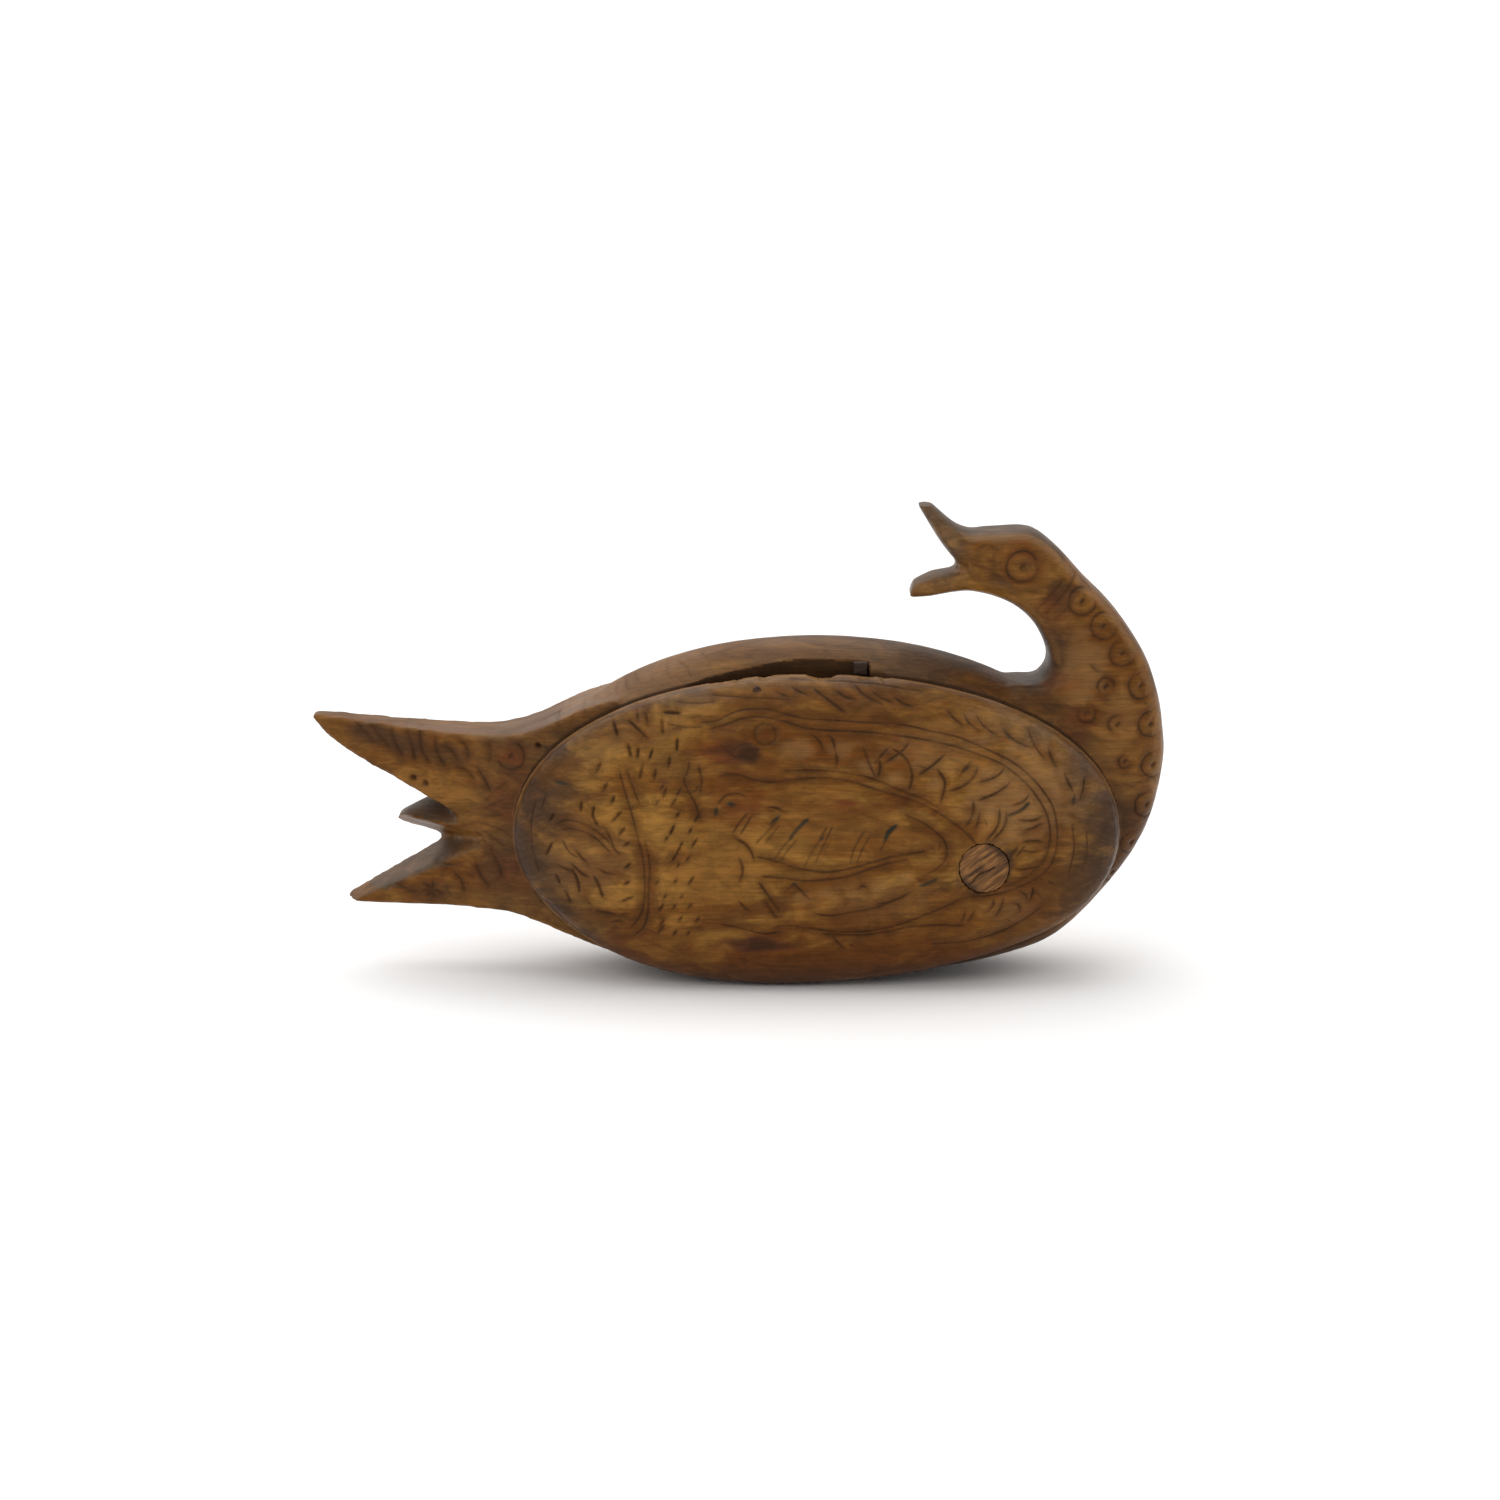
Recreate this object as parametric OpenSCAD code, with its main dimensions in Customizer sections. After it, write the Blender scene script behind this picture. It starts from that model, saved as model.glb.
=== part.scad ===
// Carved wooden money box in the shape of a bird that turns its head back over its body.
// The hollow body is closed on its near flank by an oval domed lid, which swings on one wooden peg.
// +X runs to the breast, +Y away from the lid side, +Z up; the origin is under the middle, on the table.

/* [Flank] */
// Half length of the oval flank
flank_a = 69.9; // [66:0.5:74]
// Half height of the oval flank above its middle
flank_b = 37.1; // [35:0.5:39]
// Half height of the oval flank below its middle
flank_low = 35.8; // [34:0.2:36]
// Exponent of the oval: 2 is an ellipse, more is squarer
flank_n = 2.1; // [2:0.05:2.5]
// How far each flank bulges from its seam plane
dome_h = 12.6; // [9:0.2:15]
// Half thickness of the slab between the two flanks
slab_t = 13; // [12:0.5:15]
// How far the back rises over the seam in the middle of the slab
back_rise = 6.5; // [5:0.5:8]

/* [Lid] */
// Width of the saw cut between the lid and the body
kerf = 0.4; // [0.3:0.05:0.8]
// Straight edge of the lid before its dome starts
lid_edge = 1.6; // [1:0.1:2.5]
// Clearance of the lid's lowest edge over the table
lid_lift = 0.6; // [0.4:0.1:1.5]
// Radius of the worn scoop in the lid's top edge, where coins go in
scoop_r = 8; // [6:0.5:12]

/* [Pivot] */
// Diameter of the peg's shank
shank_d = 7; // [6:0.5:8]
// Diameter of the peg's head
head_d = 11.2; // [10:0.2:12]
// Running clearance round the peg, on the radius
running_gap = 0.06; // [0.03:0.01:0.1]
// How far the shank is driven into the body
shank_in = 15; // [12:1:18]
// Depth of the lid under the peg's head
seat_t = 5.2; // [4:0.2:6]

/* [Slot] */
// Width of the coin slot along the back
slot_w = 28.7; // [27:0.1:30]
// Thickness of the coin slot
slot_t = 2.8; // [2.4:0.1:3.2]
// Length of the small block at the slot's breast end
stop_w = 3.4; // [2.5:0.1:4]

/* [Cavity] */
// Half length of the hollow
cavity_a = 43; // [38:1:44]
// Half height of the hollow
cavity_b = 30; // [26:1:31]
// Depth of the hollow behind the seam plane
cavity_depth = 31; // [26:1:33]

/* [Hidden] */

oval_steps = 72;
neck_steps = 24;
neck_pieces = 3;

flank_x = 18;
flank_z = 36;
// The belly's lowest point lies this much further to the tail than the oval's middle
belly_shift = 8;
// The slab's foot reaches this much below the flanks, where it is cut flat to stand on
foot_drop = 0.6;

seam_y = -slab_t;
lid_y = seam_y - kerf;

pivot_x = 56;
pivot_z = 30;
seat_y = lid_y - seat_t;
head_top_y = lid_y - 11.7;
head_chamfer = 0.6;

slot_x = 0.9;
slot_taper = 12;
slot_waist = 1.5;
slot_flare = 12;
slot_floor_z = 60;
slot_end_x = slot_x + slot_w;
stop_top_z = 75.4;
stop_h = 3;
scoop_x = 18.8;
scoop_depth = 0.8;

cavity_x = 1;
cavity_z = 37.5;
cavity_n = 2.6;

pin_x = 4.3;
pin_z = 70.1;
pin_d = 2;
pin_foot_y = lid_y - 1.6;
pin_top_y = lid_y - 6.2;

wood_light = "#a87d45";
wood_dark = "#5b3a1f";

// Neck and head, from the belly up round the breast to the face.
// Each row is the outer edge, the inner edge and the half thickness: x, z, x, z, t
neck_rows = [
    [38, 0.6, 40, 14, 12.4],
    [52, 2.2, 46, 18, 12.4],
    [64, 5.1, 54, 20, 12.4],
    [74.7, 9.7, 58, 24, 12.4],
    [86, 20.8, 62, 34, 12.3],
    [94.9, 34.3, 64, 44, 12],
    [99, 50, 60, 55, 11.5],
    [98.6, 60, 60, 69, 11.2],
    [97.2, 67.5, 67.9, 69.7, 11],
    [94, 76, 71.4, 74.4, 10.5],
    [87, 86.2, 68.8, 81.6, 10],
    [79.7, 93.7, 64.3, 86.4, 10],
    [73.9, 100.1, 59.8, 88.7, 10],
    [67.6, 104.8, 56.1, 89.8, 10],
    [60.6, 104.9, 54, 90.2, 9.5],
    [54.4, 104.5, 52.4, 90.4, 8.5]
];
upper_beak_rows = [
    [57.5, 105, 56, 96.4, 8.8],
    [54.4, 104.4, 51.6, 96.1, 8.4],
    [50.4, 105.6, 48.3, 99.2, 7],
    [46.8, 108.6, 45.3, 103.4, 5.5],
    [44.6, 110.6, 41.2, 110.4, 4]
];
lower_beak_rows = [
    [57, 97, 56, 90.6, 8.8],
    [52.4, 96.3, 52.6, 90.3, 8.2],
    [49.2, 95.2, 49.2, 90, 7.4],
    [44.8, 94.5, 44.2, 89, 6.4],
    [40.4, 92.4, 39.3, 88.5, 4.6]
];

// Tail seen from the lid side: the fan before its two notches are cut
tail_outline = [
    [-28, 67], [-36, 64.6], [-41.5, 62], [-46.3, 59.8], [-51, 58.3], [-56, 57.7], [-65, 58], [-83, 60],
    [-99.1, 61.7], [-94.7, 56.3], [-86.2, 50], [-79.6, 38.4], [-79, 36.6], [-91.8, 17.8], [-90.9, 16.3],
    [-67, 16.4], [-56, 15.9], [-51, 15], [-44, 12.6], [-32, 7.6], [-20, 3.2], [-14, 1.8], [-14, 30]
];
// Tail seen from above: half thickness against x
tail_plan = [[-14, 12.8], [-42, 12.8], [-50, 11.4], [-60, 9], [-80, 5.6], [-101, 2.8]];
notch_reach = 12;
// Each notch: its root and how far that moves for each mm of y, then its two lips, each x, z and dz for each mm of y
upper_notch = [[-63.5, 38.1], [-0.44, 0.31], [-96, 56, 0.07], [-82, 36, -0.1]];
lower_notch = [[-63.6, 31.8], [-0.78, -0.18], [-80.5, 36.6, -0.42], [-93.5, 15.8, 0.22]];

function sgn_pow(v, p) = sign(v) * pow(abs(v), p);

// One oval ring of a flank with its own height above and below the middle, cut flat where it meets the table
function oval_ring(cx, cz, a, top, bottom, n, y, floor_z) = [
    for (i = [0 : oval_steps - 1])
        let (
            t = 360 * i / oval_steps,
            half = sin(t) > 0 ? top : bottom,
            shift = belly_shift * pow(max(0, -sin(t)), 4) * bottom / flank_low
        ) [cx + a * sgn_pow(cos(t), 2 / n) - shift, y, max(floor_z, cz + half * sgn_pow(sin(t), 2 / n))]
];

// Section of the slab at a distance y from its middle
function slab_ring(y) =
    let (k = 1 - pow(y / slab_t, 2))
        oval_ring(flank_x, flank_z, flank_a + 0.3 - 1.8 * k, flank_b + 0.1 + back_rise * k,
                  flank_low + foot_drop, flank_n, y, 0);

// Height of a dome over its seam plane where the oval has shrunk to r
function dome_at(r) = sqrt(1 - pow(r, 3.5));
dome_radii = [1, 0.985, 0.96, 0.92, 0.86, 0.78, 0.69, 0.58, 0.45, 0.3, 0.15];

// One rounded section of the neck or beak: the row's two edges, and its half thickness along Y
function bar_ring(row, n) =
    let (
        mid = [(row[0] + row[2]) / 2, (row[1] + row[3]) / 2],
        half = [(row[0] - row[2]) / 2, (row[1] - row[3]) / 2]
    ) [
        for (i = [0 : neck_steps - 1])
            let (t = 360 * i / neck_steps, u = sgn_pow(cos(t), 2 / n), v = sgn_pow(sin(t), 2 / n))
                [mid[0] + half[0] * u, -row[4] * v, max(0, mid[1] + half[1] * u)]
    ];

// Smooth curve through the rows: the point a fraction f past row i
function row_at(rows, i, f) =
    let (
        last = len(rows) - 1,
        a = rows[max(0, i - 1)], b = rows[i], c = rows[min(last, i + 1)], d = rows[min(last, i + 2)]
    ) b + 0.5 * f * (c - a + f * (2 * a - 5 * b + 4 * c - d + f * (3 * (b - c) + d - a)));

function smooth_rows(rows, pieces) = [
    for (i = [0 : len(rows) - 2], j = [0 : pieces - 1]) row_at(rows, i, j / pieces),
    rows[len(rows) - 1]
];

// Closed solid through rings of equal count
module loft(rings) {
    count = len(rings[0]);
    levels = len(rings);
    points = [for (ring = rings) each ring];
    sides = [
        for (j = [0 : levels - 2], i = [0 : count - 1], half = [0, 1])
            let (k = (i + 1) % count, a = j * count, b = a + count)
                half == 0 ? [a + i, a + k, b + k] : [a + i, b + k, b + i]
    ];
    first = [for (i = [count - 1 : -1 : 0]) i];
    last = [for (i = [0 : count - 1]) (levels - 1) * count + i];
    polyhedron(points, concat(sides, [first, last]), convexity = 6);
}

// Slab between the flanks, with the far flank's dome on it
module trunk() {
    slab = [for (f = [-1, -0.9, -0.78, -0.6, -0.35, 0, 0.35, 0.6, 0.78, 0.9]) slab_ring(f * slab_t)];
    dome = [
        for (r = dome_radii)
            oval_ring(flank_x, flank_z, flank_a * r, flank_b * r, flank_low * r, flank_n,
                      slab_t + (dome_h + kerf) * dome_at(r), 0)
    ];
    loft(concat(slab, dome));
}

// Wedge that a knife takes out of the tail, from the lid side through to the far side
module notch(shape) {
    root = shape[0];
    lean = shape[1];
    loft([
        for (y = [-notch_reach, notch_reach]) [
            [root[0] + y * lean[0], y, root[1] + y * lean[1]],
            for (lip = [shape[2], shape[3]]) [lip[0], y, lip[1] + y * lip[2]]
        ]
    ]);
}

module tail() {
    far_edge = [for (p = tail_plan) [p[0], p[1]]];
    near_edge = [for (i = [len(tail_plan) - 1 : -1 : 0]) [tail_plan[i][0], -tail_plan[i][1]]];
    difference() {
        intersection() {
            translate([0, slab_t + 1, 0])
                rotate([90, 0, 0])
                    linear_extrude(height = 2 * slab_t + 2)
                        polygon(tail_outline);
            linear_extrude(height = 90)
                polygon(concat(far_edge, near_edge));
        }
        notch(upper_notch);
        notch(lower_notch);
    }
}

module neck_and_head() {
    loft([for (row = smooth_rows(neck_rows, neck_pieces)) bar_ring(row, 3.6)]);
    loft([for (row = smooth_rows(upper_beak_rows, 2)) bar_ring(row, 2.8)]);
    loft([for (row = smooth_rows(lower_beak_rows, 2)) bar_ring(row, 2.8)]);
}

// Hollow scooped out from the seam plane, with a rounded bottom
module cavity() {
    floor_steps = [[0, 1], [0.6, 0.97], [0.8, 0.91], [0.92, 0.78], [0.98, 0.6], [1, 0.4]];
    rings = [
        for (s = floor_steps)
            oval_ring(cavity_x, cavity_z, cavity_a * s[1], cavity_b * s[1], cavity_b * s[1], cavity_n,
                      seam_y + s[0] * cavity_depth, 0)
    ];
    mouth = oval_ring(cavity_x, cavity_z, cavity_a, cavity_b, cavity_b, cavity_n, seam_y - 1, 0);
    loft(concat([mouth], rings));
}

// Channel cut into the near face, open at the back's surface and running down into the hollow
module slot() {
    translate([0, 0, slot_floor_z])
        linear_extrude(height = 30)
            polygon([
                [slot_x - slot_taper, seam_y - 1], [slot_end_x + 4, seam_y - 1], [slot_end_x + 4, seam_y + 0.6],
                [slot_end_x, seam_y + 0.9], [slot_end_x, seam_y + slot_t], [slot_x + slot_flare, seam_y + slot_t],
                [slot_x, seam_y + slot_waist], [slot_x - slot_taper, seam_y + 0.3]
            ]);
}

module along_y(x, y, z) {
    translate([x, y, z])
        rotate([90, 0, 0])
            children();
}

module body() {
    color(wood_light)
        difference() {
            union() {
                trunk();
                neck_and_head();
                tail();
            }
            cavity();
            slot();
            along_y(pivot_x, seam_y + shank_in, pivot_z)
                cylinder(h = shank_in + 1, d = shank_d, $fn = 64);
        }
}

module lid() {
    rings = [
        for (i = [len(dome_radii) - 1 : -1 : 0])
            let (r = dome_radii[i])
                oval_ring(flank_x, flank_z, flank_a * r, flank_b * r, flank_low * r, flank_n,
                          lid_y - lid_edge - (dome_h - lid_edge) * dome_at(r), lid_lift),
        oval_ring(flank_x, flank_z, flank_a, flank_b, flank_low, flank_n, lid_y, lid_lift)
    ];
    color(wood_light)
        difference() {
            loft(rings);
            along_y(pivot_x, lid_y + 1, pivot_z)
                cylinder(h = seat_t + 2, d = shank_d + 2 * running_gap, $fn = 64);
            along_y(pivot_x, seat_y - 0.1, pivot_z)
                cylinder(h = dome_h, d = head_d + 2 * running_gap, $fn = 64);
            along_y(pin_x, pin_foot_y, pin_z)
                cylinder(h = dome_h, d = pin_d, $fn = 32);
            // Worn scoop over the slot
            along_y(scoop_x, lid_y + 1, flank_z + flank_b + scoop_r - scoop_depth)
                cylinder(h = dome_h, r = scoop_r, $fn = 64);
        }
}

// Headed peg that the lid turns on, driven into the solid breast
module pivot_peg() {
    head_h = seat_y - 0.2 - head_top_y;
    color(wood_dark) {
        along_y(pivot_x, seam_y + shank_in, pivot_z)
            cylinder(h = shank_in + seat_t + kerf + 0.2, d = shank_d, $fn = 64);
        along_y(pivot_x, seat_y - 0.2, pivot_z)
            cylinder(h = head_h - head_chamfer, d = head_d, $fn = 64);
        along_y(pivot_x, head_top_y + head_chamfer, pivot_z)
            cylinder(h = head_chamfer, d1 = head_d, d2 = head_d - 2 * head_chamfer, $fn = 64);
    }
}

// Dark block wedged into the breast end of the slot
module slot_block() {
    color(wood_dark)
        translate([slot_end_x - stop_w, seam_y + 0.3, stop_top_z - stop_h])
            cube([stop_w, slot_t - 0.3, stop_h]);
}

// Small wooden pin in the lid's top rim
module rim_pin() {
    color(wood_dark)
        along_y(pin_x, pin_foot_y, pin_z)
            cylinder(h = pin_foot_y - pin_top_y, d = pin_d, $fn = 32);
}

body();
lid();
pivot_peg();
slot_block();
rim_pin();
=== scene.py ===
import math
import random

import bpy
import numpy as np
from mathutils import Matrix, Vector, kdtree, noise


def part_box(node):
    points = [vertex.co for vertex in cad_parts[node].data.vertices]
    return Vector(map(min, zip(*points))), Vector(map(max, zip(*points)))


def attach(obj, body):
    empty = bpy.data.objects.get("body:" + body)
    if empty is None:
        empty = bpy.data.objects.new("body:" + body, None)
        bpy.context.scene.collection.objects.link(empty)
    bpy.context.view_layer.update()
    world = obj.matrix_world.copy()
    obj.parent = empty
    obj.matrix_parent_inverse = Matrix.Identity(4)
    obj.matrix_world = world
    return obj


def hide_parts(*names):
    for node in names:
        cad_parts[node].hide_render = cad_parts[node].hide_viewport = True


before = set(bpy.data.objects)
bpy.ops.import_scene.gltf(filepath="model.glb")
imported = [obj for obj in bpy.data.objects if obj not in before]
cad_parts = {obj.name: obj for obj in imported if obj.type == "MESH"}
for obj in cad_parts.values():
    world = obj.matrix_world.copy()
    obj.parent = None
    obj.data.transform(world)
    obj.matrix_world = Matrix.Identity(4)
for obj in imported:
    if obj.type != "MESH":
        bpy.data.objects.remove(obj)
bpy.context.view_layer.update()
print("frame loaded")

mm = 0.001
random.seed(23)


# small tools

def srgb(red, green, blue):
    out = []
    for value in (red, green, blue):
        value = value / 255
        out.append(value / 12.92 if value <= 0.04045 else ((value + 0.055) / 1.055) ** 2.4)
    return (*out, 1.0)


def pickOnly(piece):
    if bpy.context.object and bpy.context.object.mode != "OBJECT":
        bpy.ops.object.mode_set(mode="OBJECT")
    bpy.ops.object.select_all(action="DESELECT")
    piece.select_set(True)
    bpy.context.view_layer.objects.active = piece


def copyOfNode(nodeName, pieceName):
    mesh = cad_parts[nodeName].data.copy()
    mesh.name = pieceName
    mesh.materials.clear()
    piece = bpy.data.objects.new(pieceName, mesh)
    bpy.context.scene.collection.objects.link(piece)
    pickOnly(piece)
    bpy.ops.object.mode_set(mode="EDIT")
    bpy.ops.mesh.select_all(action="SELECT")
    bpy.ops.mesh.remove_doubles(threshold=0.004 * mm)
    bpy.ops.object.mode_set(mode="OBJECT")
    return piece


def applyModifier(piece, kind, **settings):
    pickOnly(piece)
    bpy.ops.object.modifier_add(type=kind)
    modifier = piece.modifiers[-1]
    for key, value in settings.items():
        setattr(modifier, key, value)
    bpy.ops.object.modifier_apply(modifier=modifier.name)


def coords(piece):
    mesh = piece.data
    flat = np.zeros(len(mesh.vertices) * 3, np.float32)
    mesh.vertices.foreach_get("co", flat)
    return flat.reshape(-1, 3).astype(float)


def normals(piece):
    mesh = piece.data
    flat = np.zeros(len(mesh.vertices) * 3, np.float32)
    mesh.vertices.foreach_get("normal", flat)
    return flat.reshape(-1, 3).astype(float)


def setCoords(piece, points):
    piece.data.vertices.foreach_set("co", points.astype(np.float32).ravel())
    piece.data.update()


def paint(piece, name, values):
    layer = piece.data.attributes.new(name, "FLOAT", "POINT")
    layer.data.foreach_set("value", np.clip(values, 0, 1).astype(np.float32))


def ramp(value, start, end):
    t = np.clip((value - start) / (end - start), 0, 1)
    return t * t * (3 - 2 * t)


# every carved mark is a path of x, z points in millimetres on a flank

pathStep = 0.22  # millimetres between two points of a path


def curveThrough(points):
    if len(points) == 2:
        a, b = points
        count = max(2, int(math.dist(a, b) / pathStep))
        return [
            (a[0] + (b[0] - a[0]) * i / count, a[1] + (b[1] - a[1]) * i / count)
            for i in range(count + 1)
        ]
    out = []
    last = len(points) - 1
    for i in range(last):
        p0, p1, p2, p3 = points[max(0, i - 1)], points[i], points[i + 1], points[min(last, i + 2)]
        count = max(2, int(math.dist(p1, p2) / pathStep))
        for k in range(count):
            f = k / count
            out.append(tuple(
                b + 0.5 * f * (c - a + f * (2 * a - 5 * b + 4 * c - d + f * (3 * (b - c) + d - a)))
                for a, b, c, d in zip(p0, p1, p2, p3)
            ))
    out.append(points[last])
    return out


def ring(x, z, radius, start=0, sweep=360):
    out = []
    for i in range(13):
        turn = math.radians(start + sweep * i / 12)
        r = radius + random.uniform(-0.12, 0.12)
        out.append((x + r * math.cos(turn), z + r * math.sin(turn)))
    if sweep == 360:
        out[-1] = out[0]
    return out


def layTrail(paths, taper=0.0):
    # the cut fades out over the last stretch, taper millimetres long, at each end of a path
    points, gains = [], []
    for path in paths:
        line = curveThrough(path)
        length = len(line) - 1
        for i, point in enumerate(line):
            gain = 1.0
            if taper:
                gain = min(1.0, (min(i, length - i) + 1.0) * pathStep / taper) ** 0.7
            points.append(point)
            gains.append(gain)
    tree = kdtree.KDTree(len(points))
    for i, (x, z) in enumerate(points):
        tree.insert((x, 0, z), i)
    tree.balance()
    return {"tree": tree, "gains": gains}


def distanceTo(trail, x, z):
    found = trail["tree"].find((x, 0, z))
    return found[2], trail["gains"][found[1]]


def selectFaces(piece, chosen):
    # leaves the piece in edit mode, with only these faces selected
    pickOnly(piece)
    bpy.ops.object.mode_set(mode="EDIT")
    bpy.ops.mesh.select_mode(type="FACE")
    bpy.ops.mesh.select_all(action="DESELECT")
    bpy.ops.object.mode_set(mode="OBJECT")
    piece.data.polygons.foreach_set("select", chosen)
    bpy.ops.object.mode_set(mode="EDIT")


def refine(piece, choose):
    # cuts each chosen face in four; choose gets the face centres in millimetres and their directions
    mesh = piece.data
    centres = np.zeros(len(mesh.polygons) * 3, np.float32)
    mesh.polygons.foreach_get("center", centres)
    directions = np.zeros(len(mesh.polygons) * 3, np.float32)
    mesh.polygons.foreach_get("normal", directions)
    selectFaces(piece, choose(centres.reshape(-1, 3) / mm, directions.reshape(-1, 3)))
    bpy.ops.mesh.subdivide(number_cuts=1)
    bpy.ops.object.mode_set(mode="OBJECT")


def refineNear(piece, cuts, reach, facing):
    def choose(at, out):
        chosen = np.zeros(len(at), bool)
        for i in np.nonzero(facing(at, out))[0]:
            chosen[i] = any(distanceTo(cut["trail"], at[i, 0], at[i, 2])[0] < reach for cut in cuts)
        return chosen

    refine(piece, choose)


def groove(paths, taper, *numbers, teal=0.0):
    # one kind of cut, with lengths in millimetres: half width, depth, how dark its line is, the half
    # width and depth of its soft shoulder, how much it stains, and the width and strength of its glaze,
    # a stain that also paints shade beside the cut
    names = ("width", "depth", "dark", "shoulder", "sink", "stain", "halo", "glaze_and_shade")
    return dict(zip(names, numbers), trail=layTrail(paths, taper), teal=teal)


def carve(piece, sides):
    # sides: pairs of cuts and the test for the faces they are cut into; all are cut in one pass
    at = coords(piece) / mm
    out = normals(piece)
    depth, swell, line, stain, glaze_and_shade, teal = (np.zeros(len(at)) for i in range(6))
    for cuts, facing in sides:
        for i in np.nonzero(facing(at, out))[0]:
            x, y, z = at[i]
            patchShare = 0.72 + 0.55 * noise.noise(Vector((x, y, z)) / 6)
            for cut in cuts:
                distance, gain = distanceTo(cut["trail"], x, z)
                if distance > cut["halo"]:
                    continue
                share = 0.5 + 0.5 * math.cos(math.pi * distance / cut["halo"])
                glaze_and_shade[i] = max(glaze_and_shade[i], share * cut["glaze_and_shade"])
                width = cut["width"] * (0.4 + 0.6 * gain)
                if distance < width:
                    depth[i] = max(depth[i], cut["depth"] * gain * (1 - distance / width) ** 0.8)
                if distance < width * 1.2:
                    dark = min(1, 1.6 * (1 - distance / (width * 1.2))) * gain * cut["dark"] * patchShare
                    line[i] = max(line[i], dark)
                    teal[i] = max(teal[i], dark * cut["teal"])
                if distance < cut["shoulder"]:
                    share = 0.5 + 0.5 * math.cos(math.pi * distance / cut["shoulder"])
                    swell[i] = max(swell[i], share * cut["sink"])
                    stain[i] = max(stain[i], share * gain * cut["stain"] * patchShare)
    setCoords(piece, (at - out * (depth + swell)[:, None]) * mm)
    paint(piece, "stain", stain)
    paint(piece, "teal", teal)
    return line, glaze_and_shade


def weigh(piece, name, weights):
    group = piece.vertex_groups.new(name=name)
    for i in np.nonzero(weights > 0.01)[0]:
        group.add([int(i)], float(min(1, weights[i])), "REPLACE")


def softenAndWrap(piece, nodeName, iterations, soft, crisp):
    # soft like worn wood, then back on to the true edges where crisp says so
    weigh(piece, "soft", soft(coords(piece) / mm))
    applyModifier(piece, "SMOOTH", factor=0.5, iterations=iterations, vertex_group="soft")
    weigh(piece, "crisp", crisp(coords(piece) / mm))
    applyModifier(piece, "SHRINKWRAP", target=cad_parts[nodeName], vertex_group="crisp")
    piece.vertex_groups.clear()


def thinOut(piece, hidden, keep):
    # fewer faces where nobody looks
    weigh(piece, "hidden", hidden(coords(piece) / mm).astype(float))
    applyModifier(piece, "DECIMATE", ratio=keep, vertex_group="hidden", vertex_group_factor=1.0)
    piece.vertex_groups.clear()


def unevenly(piece, size, height, seed):
    # the uneven skin a knife leaves, always inwards
    at = coords(piece)
    out = normals(piece)
    offset = Vector((seed, seed * 2, seed * 3))
    push = np.array([noise.noise(Vector(p) / (size * mm) + offset) for p in at])
    setCoords(piece, at - out * ((0.5 + 0.5 * push) * height * mm)[:, None])


# finishes

def node(tree, kind, x, y, **sockets):
    made = tree.nodes.new(kind)
    made.location = (x, y)
    for key, value in sockets.items():
        made.inputs[key].default_value = value
    return made


def attribute(tree, name, x, y):
    made = node(tree, "ShaderNodeAttribute", x, y)
    made.attribute_name = name
    return made.outputs["Fac"]


def grainNoise(tree, stretch, detail, x, y, rough=0.55, distortion=0.0):
    where = node(tree, "ShaderNodeTexCoord", x - 400, y)
    turn = node(tree, "ShaderNodeMapping", x - 200, y, Scale=stretch)
    tree.links.new(where.outputs["Object"], turn.inputs["Vector"])
    made = node(
        tree, "ShaderNodeTexNoise", x, y,
        Scale=1.0, Detail=detail, Roughness=rough, Distortion=distortion,
    )
    tree.links.new(turn.outputs["Vector"], made.inputs["Vector"])
    return made.outputs["Fac"]


def spread(tree, value, low, high, x, y, toLow=0.0, toHigh=1.0):
    made = node(tree, "ShaderNodeMapRange", x, y)
    made.interpolation_type = "SMOOTHSTEP"
    made.inputs["From Min"].default_value = low
    made.inputs["From Max"].default_value = high
    made.inputs["To Min"].default_value = toLow
    made.inputs["To Max"].default_value = toHigh
    tree.links.new(value, made.inputs["Value"])
    return made.outputs["Result"]


def times(tree, first, second, x, y, operation="MULTIPLY"):
    made = node(tree, "ShaderNodeMath", x, y)
    made.operation = operation
    for socket, value in zip(made.inputs, (first, second)):
        if isinstance(value, float):
            socket.default_value = value
        else:
            tree.links.new(value, socket)
    return made.outputs["Value"]


def blend(tree, amount, under, over, x, y, how="MIX"):
    made = node(tree, "ShaderNodeMix", x, y)
    made.data_type = "RGBA"
    made.blend_type = how
    # inputs 0, 6 and 7 are the factor and the two colours
    for socket, value in ((made.inputs[0], amount), (made.inputs[6], under), (made.inputs[7], over)):
        if isinstance(value, (float, tuple)):
            socket.default_value = value
        else:
            tree.links.new(value, socket)
    return made.outputs[2]


def startMaterial(name):
    material = bpy.data.materials.new(name)
    material.use_nodes = True
    tree = material.node_tree
    tree.nodes.clear()
    surface = node(tree, "ShaderNodeBsdfPrincipled", 1600, 0)
    result = node(tree, "ShaderNodeOutputMaterial", 1900, 0)
    tree.links.new(surface.outputs["BSDF"], result.inputs["Surface"])
    return material, tree, surface


lidWood = {
    "gold": srgb(138, 97, 42),
    "honey": srgb(106, 66, 22),
    "brown": srgb(74, 43, 17),
    "glazeAndShadeTone": srgb(88, 47, 12),
    "patina_and_shade": srgb(62, 43, 31),
    "dust_and_sheen": srgb(104, 84, 68),
    "worn": srgb(140, 102, 62),
    "stainTone": srgb(58, 31, 11),
    "ink_and_shadow": srgb(44, 25, 12),
    "tealTone": srgb(26, 42, 37),
    "redTone": srgb(92, 40, 16),
    "raw": srgb(112, 80, 46),
    "roughness": 0.4,
}
bodyWood = dict(
    lidWood,
    gold=srgb(120, 81, 35), honey=srgb(95, 58, 21), brown=srgb(67, 39, 17), dust_and_sheen=srgb(84, 70, 57),
)


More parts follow.
